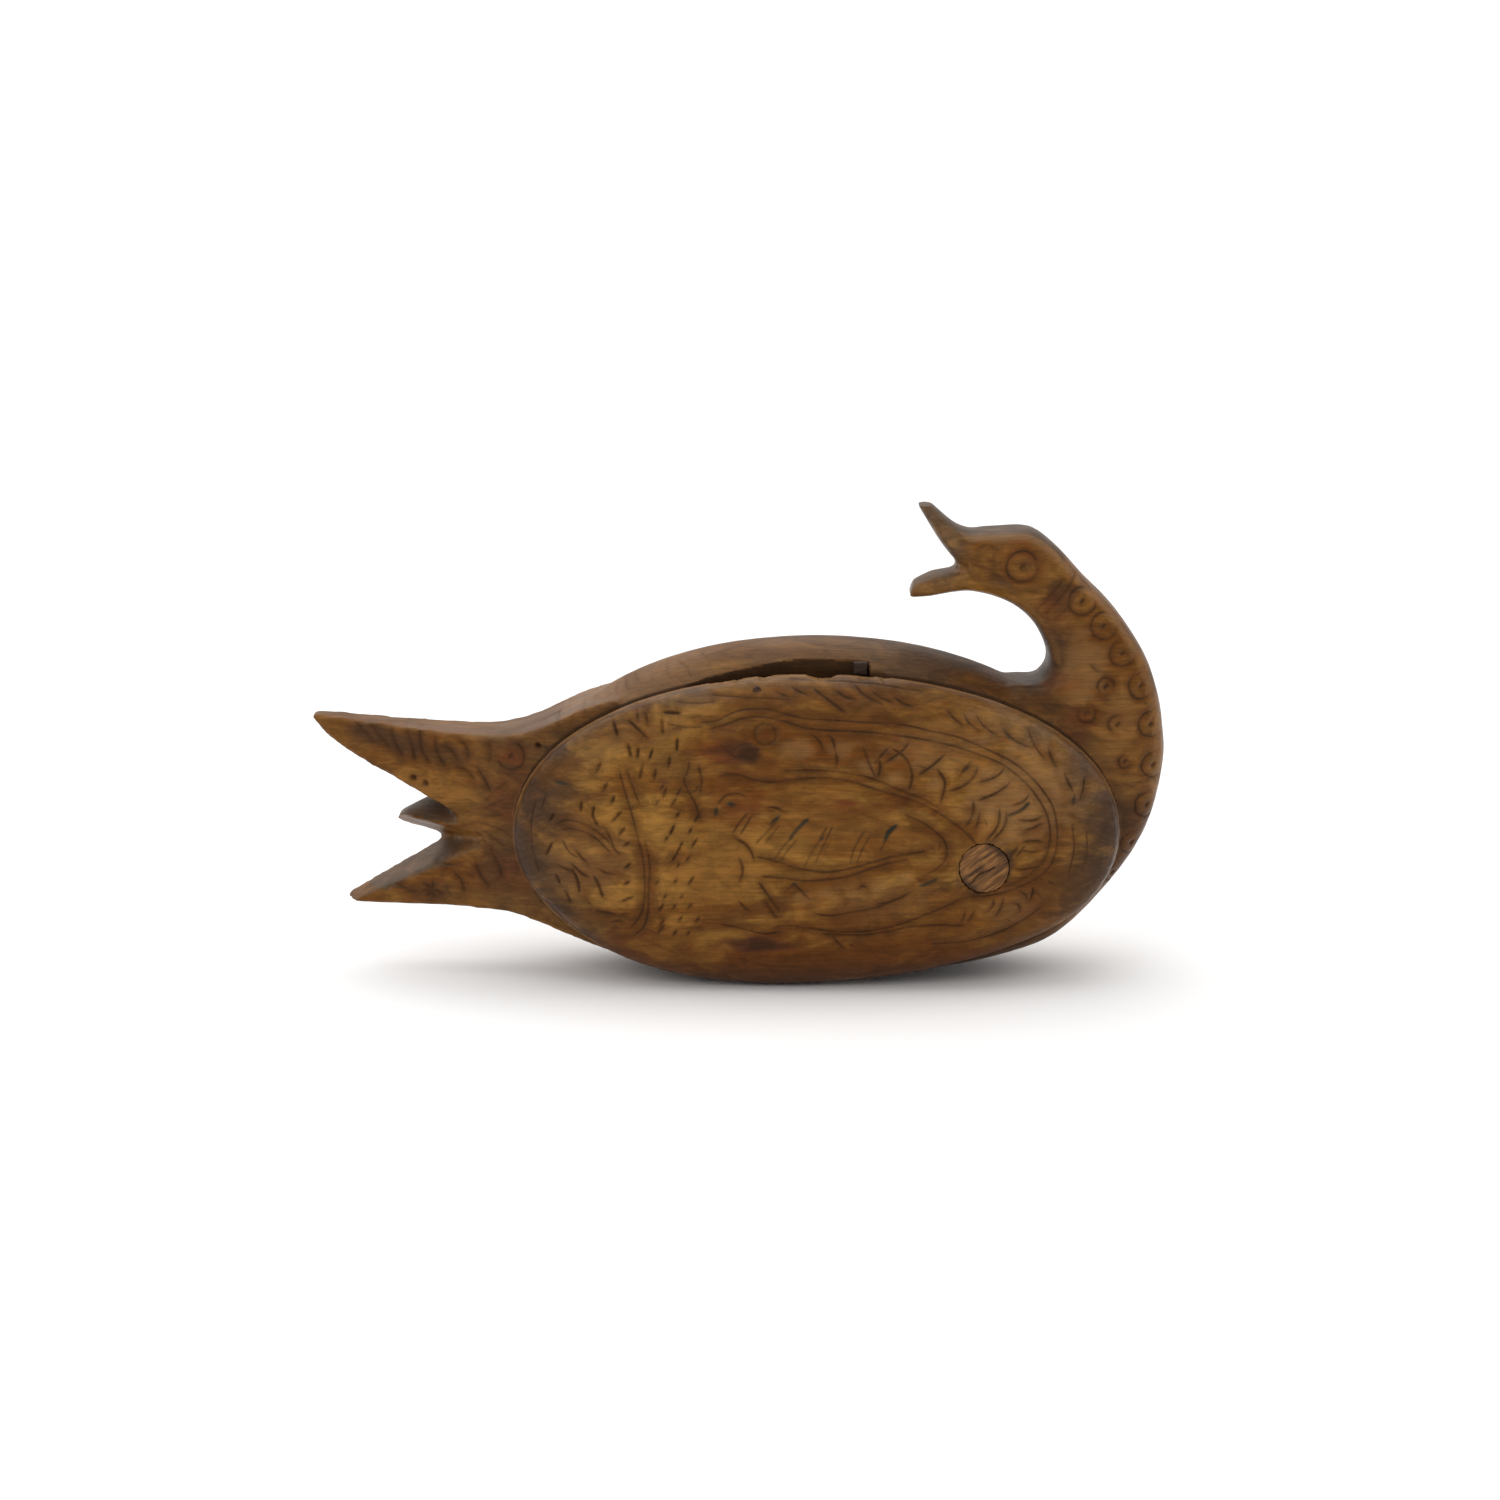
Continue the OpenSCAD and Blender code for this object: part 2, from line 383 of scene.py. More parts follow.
def waxedBoxwood(name, look):
    material, tree, surface = startMaterial(name)
    figure = grainNoise(tree, (20, 60, 74), 5.0, -1600, 700, rough=0.62, distortion=1.8)
    fibre = grainNoise(tree, (90, 1500, 1800), 3.0, -1600, 400, distortion=0.4)
    cloud = grainNoise(tree, (46, 60, 84), 5.0, -1600, 100, rough=0.6, distortion=1.2)
    mottle = grainNoise(tree, (120, 210, 250), 5.0, -1600, -500, rough=0.66, distortion=1.5)
    speck = grainNoise(tree, (520, 520, 800), 2.0, -1600, -200)
    colour = blend(tree, spread(tree, figure, 0.4, 0.6, -1300, 700), look["gold"], look["honey"], -1100, 700)
    brownness = spread(tree, cloud, 0.48, 0.66, -1300, 100, 0.0, 0.75)
    colour = blend(tree, brownness, colour, look["brown"], -900, 600)
    patchy = spread(tree, cloud, 0.34, 0.58, -1300, -50, 0.5, 1.0)
    # glaze: a stain round the cuts, which also paints shade beside the border lines
    glazedAndShaded = times(tree, attribute(tree, "glaze_and_shade", -1300, -600), patchy, -1100, -500)
    colour = blend(tree, glazedAndShaded, colour, look["glazeAndShadeTone"], -800, 550)
    # patina: patina together with painted shade in hollows, beside the lid's edge and towards the bottom
    patina_and_shade = times(tree, attribute(tree, "patina_and_shade", -1300, -400), patchy, -1100, -300)
    colour = blend(tree, patina_and_shade, colour, look["patina_and_shade"], -700, 500)
    # grey: dust together with a painted sheen, the top light's reflection on upward faces
    sheen_and_dust = times(tree, attribute(tree, "dust_and_sheen", -1100, -500), patchy, -900, -500)
    colour = blend(tree, sheen_and_dust, colour, look["dust_and_sheen"], -500, 500)
    patches = spread(tree, mottle, 0.3, 0.6, -1300, -700, 0.35, 1.0)
    # worn: rubbed wood together with painted highlights
    patchShare = times(tree, attribute(tree, "worn", -1100, -700), patches, -900, -650)
    colour = blend(tree, patchShare, colour, look["worn"], -300, 500)
    colour = blend(tree, attribute(tree, "raw", -1100, -900), colour, look["raw"], -100, 500)
    uneven = spread(tree, speck, 0.3, 0.6, -900, -900, 0.6, 1.0)
    stained = times(tree, attribute(tree, "stain", -900, -700), uneven, -700, -700)
    colour = blend(tree, stained, colour, look["stainTone"], 100, 500)
    colour = blend(tree, attribute(tree, "red", -700, -900), colour, look["redTone"], 300, 500)
    # the dark line colour is ink in the cuts, and painted shadow in the seam, the slot and the crook
    colour = blend(tree, attribute(tree, "line", -300, -700), colour, look["ink_and_shadow"], 500, 500)
    colour = blend(tree, attribute(tree, "teal", -300, -900), colour, look["tealTone"], 700, 500)
    # fibres and small blotches darken and lighten it, the blotches more in blue than in red
    fibres = spread(tree, fibre, 0.3, 0.72, -300, 200, 0.84, 1.1)
    blotches = spread(tree, mottle, 0.34, 0.66, -300, 0, 1.16, 0.8)
    shade = times(tree, fibres, blotches, -100, 200)
    shadeColour = node(tree, "ShaderNodeCombineColor", 500, 200)
    tree.links.new(spread(tree, shade, 0.5, 1.4, 100, 300, 0.62, 1.3), shadeColour.inputs[0])
    tree.links.new(shade, shadeColour.inputs[1])
    tree.links.new(shade, shadeColour.inputs[2])
    colour = blend(tree, 1.0, colour, shadeColour.outputs["Color"], 1100, 500, "MULTIPLY")
    tree.links.new(colour, surface.inputs["Base Color"])
    gloss = spread(tree, cloud, 0.3, 0.7, 700, -200, look["roughness"] - 0.08, look["roughness"] + 0.1)
    dull = times(tree, attribute(tree, "line", 700, -400), 0.25, 900, -400)
    gloss = times(tree, gloss, dull, 1100, -200, "ADD")
    tree.links.new(gloss, surface.inputs["Roughness"])
    surface.inputs["Specular IOR Level"].default_value = 0.16
    surface.inputs["Specular Tint"].default_value = (1, 0.78, 0.5, 1)
    surface.inputs["Coat Weight"].default_value = 0.03
    surface.inputs["Coat Roughness"].default_value = 0.25
    fine = node(tree, "ShaderNodeBump", 1100, -500, Strength=0.3, Distance=0.00025)
    tree.links.new(fibre, fine.inputs["Height"])
    pits = node(tree, "ShaderNodeBump", 1300, -500, Strength=0.25, Distance=0.0004)
    tree.links.new(mottle, pits.inputs["Height"])
    tree.links.new(fine.outputs["Normal"], pits.inputs["Normal"])
    tree.links.new(pits.outputs["Normal"], surface.inputs["Normal"])
    return material


def darkWood(name, light, dark, stretch, turn, roughness):
    material, tree, surface = startMaterial(name)
    where = node(tree, "ShaderNodeTexCoord", -1200, 200)
    lay = node(tree, "ShaderNodeMapping", -1000, 200, Rotation=turn)
    tree.links.new(where.outputs["Object"], lay.inputs["Vector"])
    long = node(tree, "ShaderNodeMapping", -800, 200, Scale=stretch)
    tree.links.new(lay.outputs["Vector"], long.inputs["Vector"])
    fibre = node(tree, "ShaderNodeTexNoise", -600, 200, Scale=1.0, Detail=4.0, Roughness=0.6, Distortion=0.3)
    tree.links.new(long.outputs["Vector"], fibre.inputs["Vector"])
    dirt = grainNoise(tree, (160, 160, 160), 3.0, -600, -200)
    surface.inputs["Specular IOR Level"].default_value = 0.18
    colour = blend(tree, spread(tree, fibre.outputs["Fac"], 0.36, 0.62, -300, 200), dark, light, 0, 200)
    soiled = spread(tree, dirt, 0.5, 0.72, -300, -200, 0.0, 0.7)
    colour = blend(tree, soiled, colour, srgb(46, 30, 20), 200, 200)
    colour = blend(tree, attribute(tree, "dirt", 0, -200), colour, srgb(44, 28, 19), 400, 200)
    tree.links.new(colour, surface.inputs["Base Color"])
    gloss = spread(tree, dirt, 0.3, 0.7, 300, -300, roughness - 0.1, roughness + 0.1)
    tree.links.new(gloss, surface.inputs["Roughness"])
    bump = node(tree, "ShaderNodeBump", 900, -300, Strength=0.5, Distance=0.0003)
    tree.links.new(fibre.outputs["Fac"], bump.inputs["Height"])
    tree.links.new(bump.outputs["Normal"], surface.inputs["Normal"])
    return material


# the lid: an oval dome carved with a two-headed animal, a fish and a field of little cuts

lidShape = {
    "voxel": 0.8 * mm,
    "centreX": 18,
    "centreZ": 36,
    "halfLong": 69.9,
    "halfUp": 37.1,
    "halfDown": 35.8,
    "power": 2.1,
    "pegX": 56,
    "pegZ": 30,
    "soften": 12,
}

borderLines = [
    [(-9, 63.4), (-5, 63.9), (-1.5, 65.6), (2, 66.5), (7, 66.5), (11, 65.5), (15, 64.6), (20, 64.3),
    (26, 63.9),
     (32, 63.5), (38, 63), (44, 61.6), (50, 60.2), (56, 57.6), (62, 54.6), (66.5, 51), (70, 46.8), (72, 43),
     (72.8, 38), (72.6, 34), (71.4, 30.4), (69, 27.8), (65.5, 25.8), (61, 24.2), (56, 23.3), (52, 23),
     (48, 21.2),
     (43, 19), (38, 17), (33, 15.6), (27, 14.9), (21, 15.1), (16, 15.9), (11, 16.5), (7.5, 15.8)],
    [(-7, 62), (-3, 63.1), (1, 64.5), (5, 64.9), (9.5, 64.2), (15, 62.6), (20, 62), (26, 61.8), (33, 61.2),
     (40, 60.2), (48, 58.5), (55, 56.1), (60, 53.9), (64.5, 50.4), (68, 46.3), (70.5, 41.5), (71.1, 36.5),
     (70, 32), (67.4, 28.9), (63.6, 26.6), (60.5, 25.5)],
    [(-5, 51.1), (-2.5, 52), (0.5, 51.9), (3.5, 50.8), (7, 50.3), (12, 50.7), (17, 51.2), (22, 51),
    (27, 50),
     (32, 48.3), (36.5, 47), (41, 45.5), (45, 43.4), (48.5, 41), (51.5, 38.6), (53, 36.6)],
    [(10, 52.8), (15, 53), (20, 52.9), (25, 52.3), (29, 51.5), (33, 50), (38, 47.9), (42, 46.3),
    (46, 43.9)],
    [(38, 42.6), (41.5, 41), (44.6, 38.9), (46.8, 36.6), (47.5, 34), (46.8, 31.6), (44.5, 29.4),
    (41.5, 28.4)],
    [(3.5, 33), (8, 32), (12, 30.6), (16, 29.7), (20.5, 29.3), (25, 30), (30, 31.4), (35, 32.9),
    (40, 33.7), (43.5, 34.4)],
    [(5, 28.3), (10, 27.9), (15, 27.2), (20, 27.5), (25, 28.2), (30, 30), (34, 31.3), (39, 32.2)],
    [(17, 19.6), (21, 18.9), (26, 19.7), (30, 20.4), (34, 21.8), (38, 23.7), (40, 25)],
    [(-4.5, 16.8), (0, 15.9), (4, 14.8), (7, 14.4), (10, 15.2)],
    [(19, 14.4), (28, 14.1), (34, 14.8), (39, 15.9), (45, 16.3), (52, 15.9)],
    [(-27, 52.5), (-26.2, 49.5), (-25, 45.5), (-24, 42), (-22.8, 37), (-21.8, 33), (-21.3, 28),
    (-21.4, 23), (-22.3, 18.8), (-24.8, 15)],
    [(-21.3, 37), (-20.4, 33), (-20.1, 29), (-20.5, 24), (-20.6, 19.5), (-21.7, 15.7), (-24.2, 13)],
    [(-25.4, 53), (-24.4, 50.2), (-23.2, 47), (-22.2, 44.6)],
    [(-11, 55.4), (-11.4, 52.6), (-12.2, 50.6), (-11.2, 48), (-9.6, 45), (-8.4, 41)],
    [(-44, 19), (-42.2, 17.4), (-40, 15.2), (-37, 13), (-34, 11.4)],
    [(44, 11.4), (52, 11.8), (59, 13.6), (65, 16.6), (70, 20.4)],
    [(-41, 38.1), (-38, 38.7), (-34.4, 37.8), (-31.5, 35.9), (-28.6, 32.9)],
    [(-42, 39.4), (-39.5, 40.6), (-36, 40.2), (-33, 38.9), (-30.3, 36.9), (-28.4, 34.8)],
]

deepCuts = [
    [(16.3, 61.3), (18.4, 59.6), (19.4, 57.2)],
    [(20, 61.2), (21.4, 59.9), (22, 57.2)],
    [(22, 57.4), (22.4, 55.2), (21.9, 53.2)],
    [(28.4, 58.2), (29.4, 55.2), (31, 51.6)],
    [(31.7, 56), (32.2, 53.6), (31.6, 51.2)],
    [(30.8, 54.4), (33, 57), (34.6, 58.4)],
    [(33.4, 54.8), (37, 57.2), (38.8, 59.4)],
    [(34.8, 58), (38, 55.6), (39.3, 52.4), (39.2, 50), (38.6, 48)],
    [(40.8, 51.8), (44, 54), (47, 56.6)],
    [(45, 53.2), (46.8, 50.4), (46.4, 47.2), (45.6, 45)],
    [(48, 48.1), (51, 49.2), (53.4, 51.2), (54.4, 53.6)],
    [(50.2, 51.6), (51.4, 53.2), (53, 55)],
    [(54, 50), (57, 50.6), (59.6, 52), (60.4, 53.8)],
    [(54.4, 45.9), (58, 47.2), (60.6, 48.8), (62, 50.2)],
    [(62, 44.4), (65, 45.6), (66.2, 47.2)],
    [(63.4, 41.2), (67, 41), (69.4, 42)],
    [(64.8, 38.9), (67, 39.2), (69.2, 40.4)],
    [(64.4, 36.1), (67, 36.3), (69.6, 35.9)],
    [(64.4, 34.1), (67, 33.6), (69.2, 33.8)],
    [(53.4, 45.9), (53.3, 43), (52.2, 40.6), (51.2, 39.4)],
    [(54.9, 43.1), (54.4, 40.6), (53.7, 38.8)],
    [(59.3, 44), (59.3, 41), (58.2, 38.6), (56.4, 36.7)],
    [(60.9, 43.4), (60.9, 41), (59.8, 38.6), (57.8, 36.7)],
    [(51.9, 38.8), (53.4, 36.6), (54.6, 35.2)],
    [(61.6, 31.9), (63, 34), (64, 35.6)],
    [(63, 32.3), (64.5, 34), (65.3, 35.4)],
    [(62, 30.2), (64, 29.6), (67, 29.8), (70, 30.7)],
    [(61.8, 28.2), (64, 27.4), (66.2, 27.8)],
    [(67, 26), (67.4, 24), (66.6, 21.6)],
    [(64, 24.6), (65.6, 23.4), (66.2, 21.8)],
    [(60.6, 23.4), (60.2, 20.6), (58.6, 17.8)],
    [(58.3, 23), (58.2, 21), (56.8, 19.4)],
    [(62.6, 21.6), (64.2, 20.8), (64.6, 18.8)],
    [(68, 28), (70.2, 26.6)],
    [(52, 20.2), (51.6, 18.4), (50.9, 16.9)],
    [(54.1, 20.2), (53.4, 18.4), (52.4, 16.8)],
    [(4.7, 27), (7, 23.6), (9.6, 20)],
    [(6.2, 22.6), (7.8, 19.7), (9.2, 18.2)],
    [(11.2, 25), (12.9, 26.2), (14.6, 24.6), (16.6, 22.6)],
    [(0, 22.6), (1.4, 21), (3.2, 19.6)],
    [(23, 25.6), (24.1, 24.2)],
    [(24, 21), (25.1, 22.4)],
    [(27, 25), (28.5, 26), (29.8, 25.1)],
    [(31, 21.6), (34, 22), (37, 23.1), (38.8, 24.2)],
    [(-1, 37.4), (1.5, 36), (3, 34), (3.8, 31.4)],
    [(0.1, 33), (1, 30.6), (0.9, 28.6), (0.1, 26.6)],
    [(21.4, 14), (22.9, 12.2), (24.2, 10.8)],
    [(25.2, 12.2), (26.6, 11)],
    [(-9, 54), (-8.2, 50.6), (-8.8, 47.4)],
    [(-23, 66), (-22.8, 63)],
    [(-21.1, 65.6), (-20.4, 62.2)],
    [(-25.2, 63.6), (-22.4, 61.4), (-20.2, 59.6)],
    [(-32, 29.6), (-30, 28.6), (-27.8, 28.4)],
    [(-37.2, 34), (-35.6, 32), (-33.8, 30.4)],
    [(-41.6, 30.1), (-38.8, 28.9), (-36.8, 28)],
    [(-38.2, 30.6), (-35.8, 28.4), (-33.8, 27.3)],
    [(-30.2, 39.2), (-29, 36.6), (-28.2, 34.4), (-26.6, 33)],
    [(-33, 19.3), (-29.4, 18.8), (-27.2, 18.3), (-24.8, 19.1)],
    [(-29.2, 16.4), (-27.6, 17), (-25.8, 16.8)],
    [(10.6, 43.2), (9, 44.2), (6.4, 44.6)],
]

# rim cuts in a row along the top edge and down the breast end
for start, bend, end in (
    ((8.4, 70.2), (10, 69.6), (11.8, 69)), ((12, 71.2), (14.2, 70.1), (16.8, 69.2)),
    ((17, 70.9), (20.2, 68.7), (24.6, 65.6)),
    ((22.2, 70.4), (24.2, 69.2), (27, 68.5)), ((26.3, 71.6), (29, 69.3), (33.2, 67.3)),
    ((30.3, 70.3), (32.6, 68.8), (35.6, 67.6)),
    ((35.3, 69.1), (37.2, 67.8), (39.8, 66.9)), ((47.3, 66.4), (48.8, 64.4), (51, 62.8)),
    ((51.2, 65.2), (52.6, 63), (55.2, 61.2)),
    ((54, 64.8), (55.8, 62.4), (58.6, 60.4)), ((60.1, 61.8), (63, 59), (66.6, 57.4)),
    ((66, 61), (67.6, 57.6), (69.8, 54.6)),
    ((70.6, 57), (71.4, 54.8), (72.6, 52.4)), ((74.2, 51.6), (75.2, 49.4), (76.4, 47)),
    ((79, 50.5), (78.7, 47.6), (77.8, 45)),
):
    deepCuts.append([start, bend, end])

leafCuts = [
    [(-31.2, 54.2), (-32.2, 51.8)], [(-28, 46.8), (-28.8, 45)], [(-26.3, 43.4), (-28.6, 40.8)],
    [(-25.6, 39.6), (-27.2, 37.6)],
    [(-24.4, 36.2), (-26.1, 35.2)], [(-24.4, 31.2), (-25.9, 29.9)], [(-24.6, 27), (-26.1, 25.9)],
    [(-23.8, 23.2), (-26.7, 21.9)],
    [(-32.7, 44.4), (-33, 42), (-31.9, 39.8)], [(-35.6, 45.4), (-35.8, 42.8)],
    [(-41.8, 42.2), (-43.2, 40.2)],
    [(-42.4, 35.4), (-44, 32.2)], [(-38.2, 29.4), (-36.8, 26.8), (-36.3, 23.6)],
    [(-33, 28), (-31.8, 25.6), (-30.9, 22.8)],
    [(-41.7, 27.8), (-40.7, 25.2)], [(-39.5, 23.8), (-38.4, 20.8)], [(-22.6, 57.8), (-22.8, 55.2)],
    [(-21.5, 54.2), (-22.4, 50.6)],
    [(-17.3, 64), (-17, 60.8)], [(-17, 65.4), (-13, 65.3)], [(-13.7, 60.2), (-13.9, 57)],
    [(-18.6, 53.4), (-19, 50.6)],
    [(-16.2, 49), (-17, 46.4)], [(-12.6, 36.4), (-14.2, 33)], [(-14.4, 40.4), (-15.6, 37.8)],
    [(-28.4, 63), (-27.4, 60)],
    [(-25, 58.4), (-24.2, 55.4)], [(-19.3, 57.6), (-20.2, 55)], [(-15.4, 56), (-15.8, 53)],
    [(-29.6, 49.8), (-30.8, 47.6)],
]
for row in range(12):  # little slanting cuts fill the band behind the curved double line
    height = 14.6 + 3.1 * row
    for column in range(3):
        x = -18.2 + 3.6 * column + (row % 2) * 1.4 + random.uniform(-0.6, 0.6)
        z = height + random.uniform(-0.8, 0.8)
        long = random.uniform(0.6, 1.5)
        if random.random() < 0.72:
            leafCuts.append([(x + 0.5 * long, z + 0.8 * long), (x - 0.5 * long, z - 0.8 * long)])

fineLines = [
    [(-4.6, 45.2), (-2.6, 47.3), (0.4, 47.6), (2, 46.5)],
    [(11.3, 72.5), (16, 72.4), (22, 72.2), (32, 71.4), (42, 69.8)],
    [(-6, 69.2), (0, 68.9), (6, 68.8), (12, 68.4)],
    [(4, 36), (6.4, 38.6), (9.4, 42)], [(6, 36), (7.6, 38), (9.4, 40.4)],
    [(8, 31.9), (10, 35), (12.6, 38), (15.8, 41.9)], [(9.6, 31.4), (11, 34), (13.6, 37.2)],
    [(15, 30.4), (17, 34.4), (20.2, 40)], [(17.4, 31), (19, 34.8), (21.4, 40)],
    [(25.4, 31), (26.4, 35), (28.8, 39.2)], [(27, 31.4), (28.2, 34.6), (30, 38)],
    [(32.2, 34), (33.8, 37.4), (36.2, 40.6)],
    [(-1.4, 38), (0, 40.4), (2.2, 43.4)], [(0.4, 38), (1.6, 40), (3.2, 42.6)],
    [(6.4, 44.2), (8.6, 43.2)], [(-4, 59), (-2, 57), (0, 55.6)], [(-2.4, 56.4), (0.6, 58.6), (3, 59)],
    [(-46, 45), (-47.2, 40), (-47, 34), (-45.6, 28)], [(-43.6, 47), (-44.8, 43)],
    [(76, 40), (76.6, 34), (75.4, 28)], [(79.4, 38), (79.6, 33), (78.6, 28)],
    [(-16, 63), (-12, 62.4), (-8, 62.6)], [(-14, 67.6), (-9, 67.4), (-5, 68)],
    [(-40, 36), (-38.6, 33.4), (-36.4, 32)], [(-35, 22), (-33.4, 20.6)],
    [(40, 54), (43, 53.4)], [(56, 41.6), (56.6, 39.6)], [(68.2, 24.4), (69, 22.6)],
    [(70.4, 27), (72.4, 25.4)],
    [(61.2, 17.6), (63, 16.8)], [(46, 36), (45.4, 34)],
]

tealCuts = [
    [(-5.2, 42.4), (-4.8, 44.4)],
    [(7.2, 40.4), (9.6, 42.6)], [(11.6, 36.8), (13.4, 39.4), (16, 41.9)],
    [(33.2, 36.4), (34.2, 38.8), (36, 40.4)],
    [(41, 26), (43, 26.5), (45.6, 27.8)], [(61, 42.2), (64, 43.3), (66.2, 45.2)], [(51, 52.4), (52.6, 54)],
    [(-2.6, 45.4), (-0.6, 45)], [(-42, 49.2), (-38.6, 49)], [(60.4, 61), (62.4, 59.2)],
    [(76.6, 46.4), (76.2, 44)],
    [(12, 26.4), (13.4, 26.6)], [(18.6, 36.4), (19.4, 38)],
]


def facingFront(at, out):
    return (out[:, 1] < -0.2) & (at[:, 1] < -13.9)


def lidRadius(x, z):
    dx = np.abs(x - lidShape["centreX"]) / lidShape["halfLong"]
    half = np.where(z > lidShape["centreZ"], lidShape["halfUp"], lidShape["halfDown"])
    dz = np.abs(z - lidShape["centreZ"]) / half
    return (dx ** lidShape["power"] + dz ** lidShape["power"]) ** (1 / lidShape["power"])


def spots(at, places):
    # soft patches with uneven edges: x, z, half width, half height, strength
    value = np.zeros(len(at))
    ragged = np.array([noise.noise(Vector((p[0] / 3.2, p[1] / 6, p[2] / 2))) for p in at])
    for x, z, wide, high, strength in places:
        r = np.sqrt(((at[:, 0] - x) / wide) ** 2 + ((at[:, 2] - z) / high) ** 2) * (1 + 0.45 * ragged)
        value = np.maximum(value, strength * (1 - ramp(r, 0.45, 1.15)))
    return value


def lidCrisp(at):
    r = lidRadius(at[:, 0], at[:, 2])
    toPeg = np.hypot(at[:, 0] - lidShape["pegX"], at[:, 2] - lidShape["pegZ"])
    return np.maximum(np.maximum(ramp(r, 0.93, 0.98), 1 - ramp(toPeg, 6, 7)), at[:, 1] > -14.6)


def lidEdges(at, out):
    # the rim gets finer faces before it is softened
    return (at[:, 1] > -16.4) & (lidRadius(at[:, 0], at[:, 2]) > 0.975)


def lidSoft(at):
    return 1 - 0.9 * lidCrisp(at)


def lidHidden(at):
    return (at[:, 1] > -13.6) & (lidRadius(at[:, 0], at[:, 2]) < 0.97)


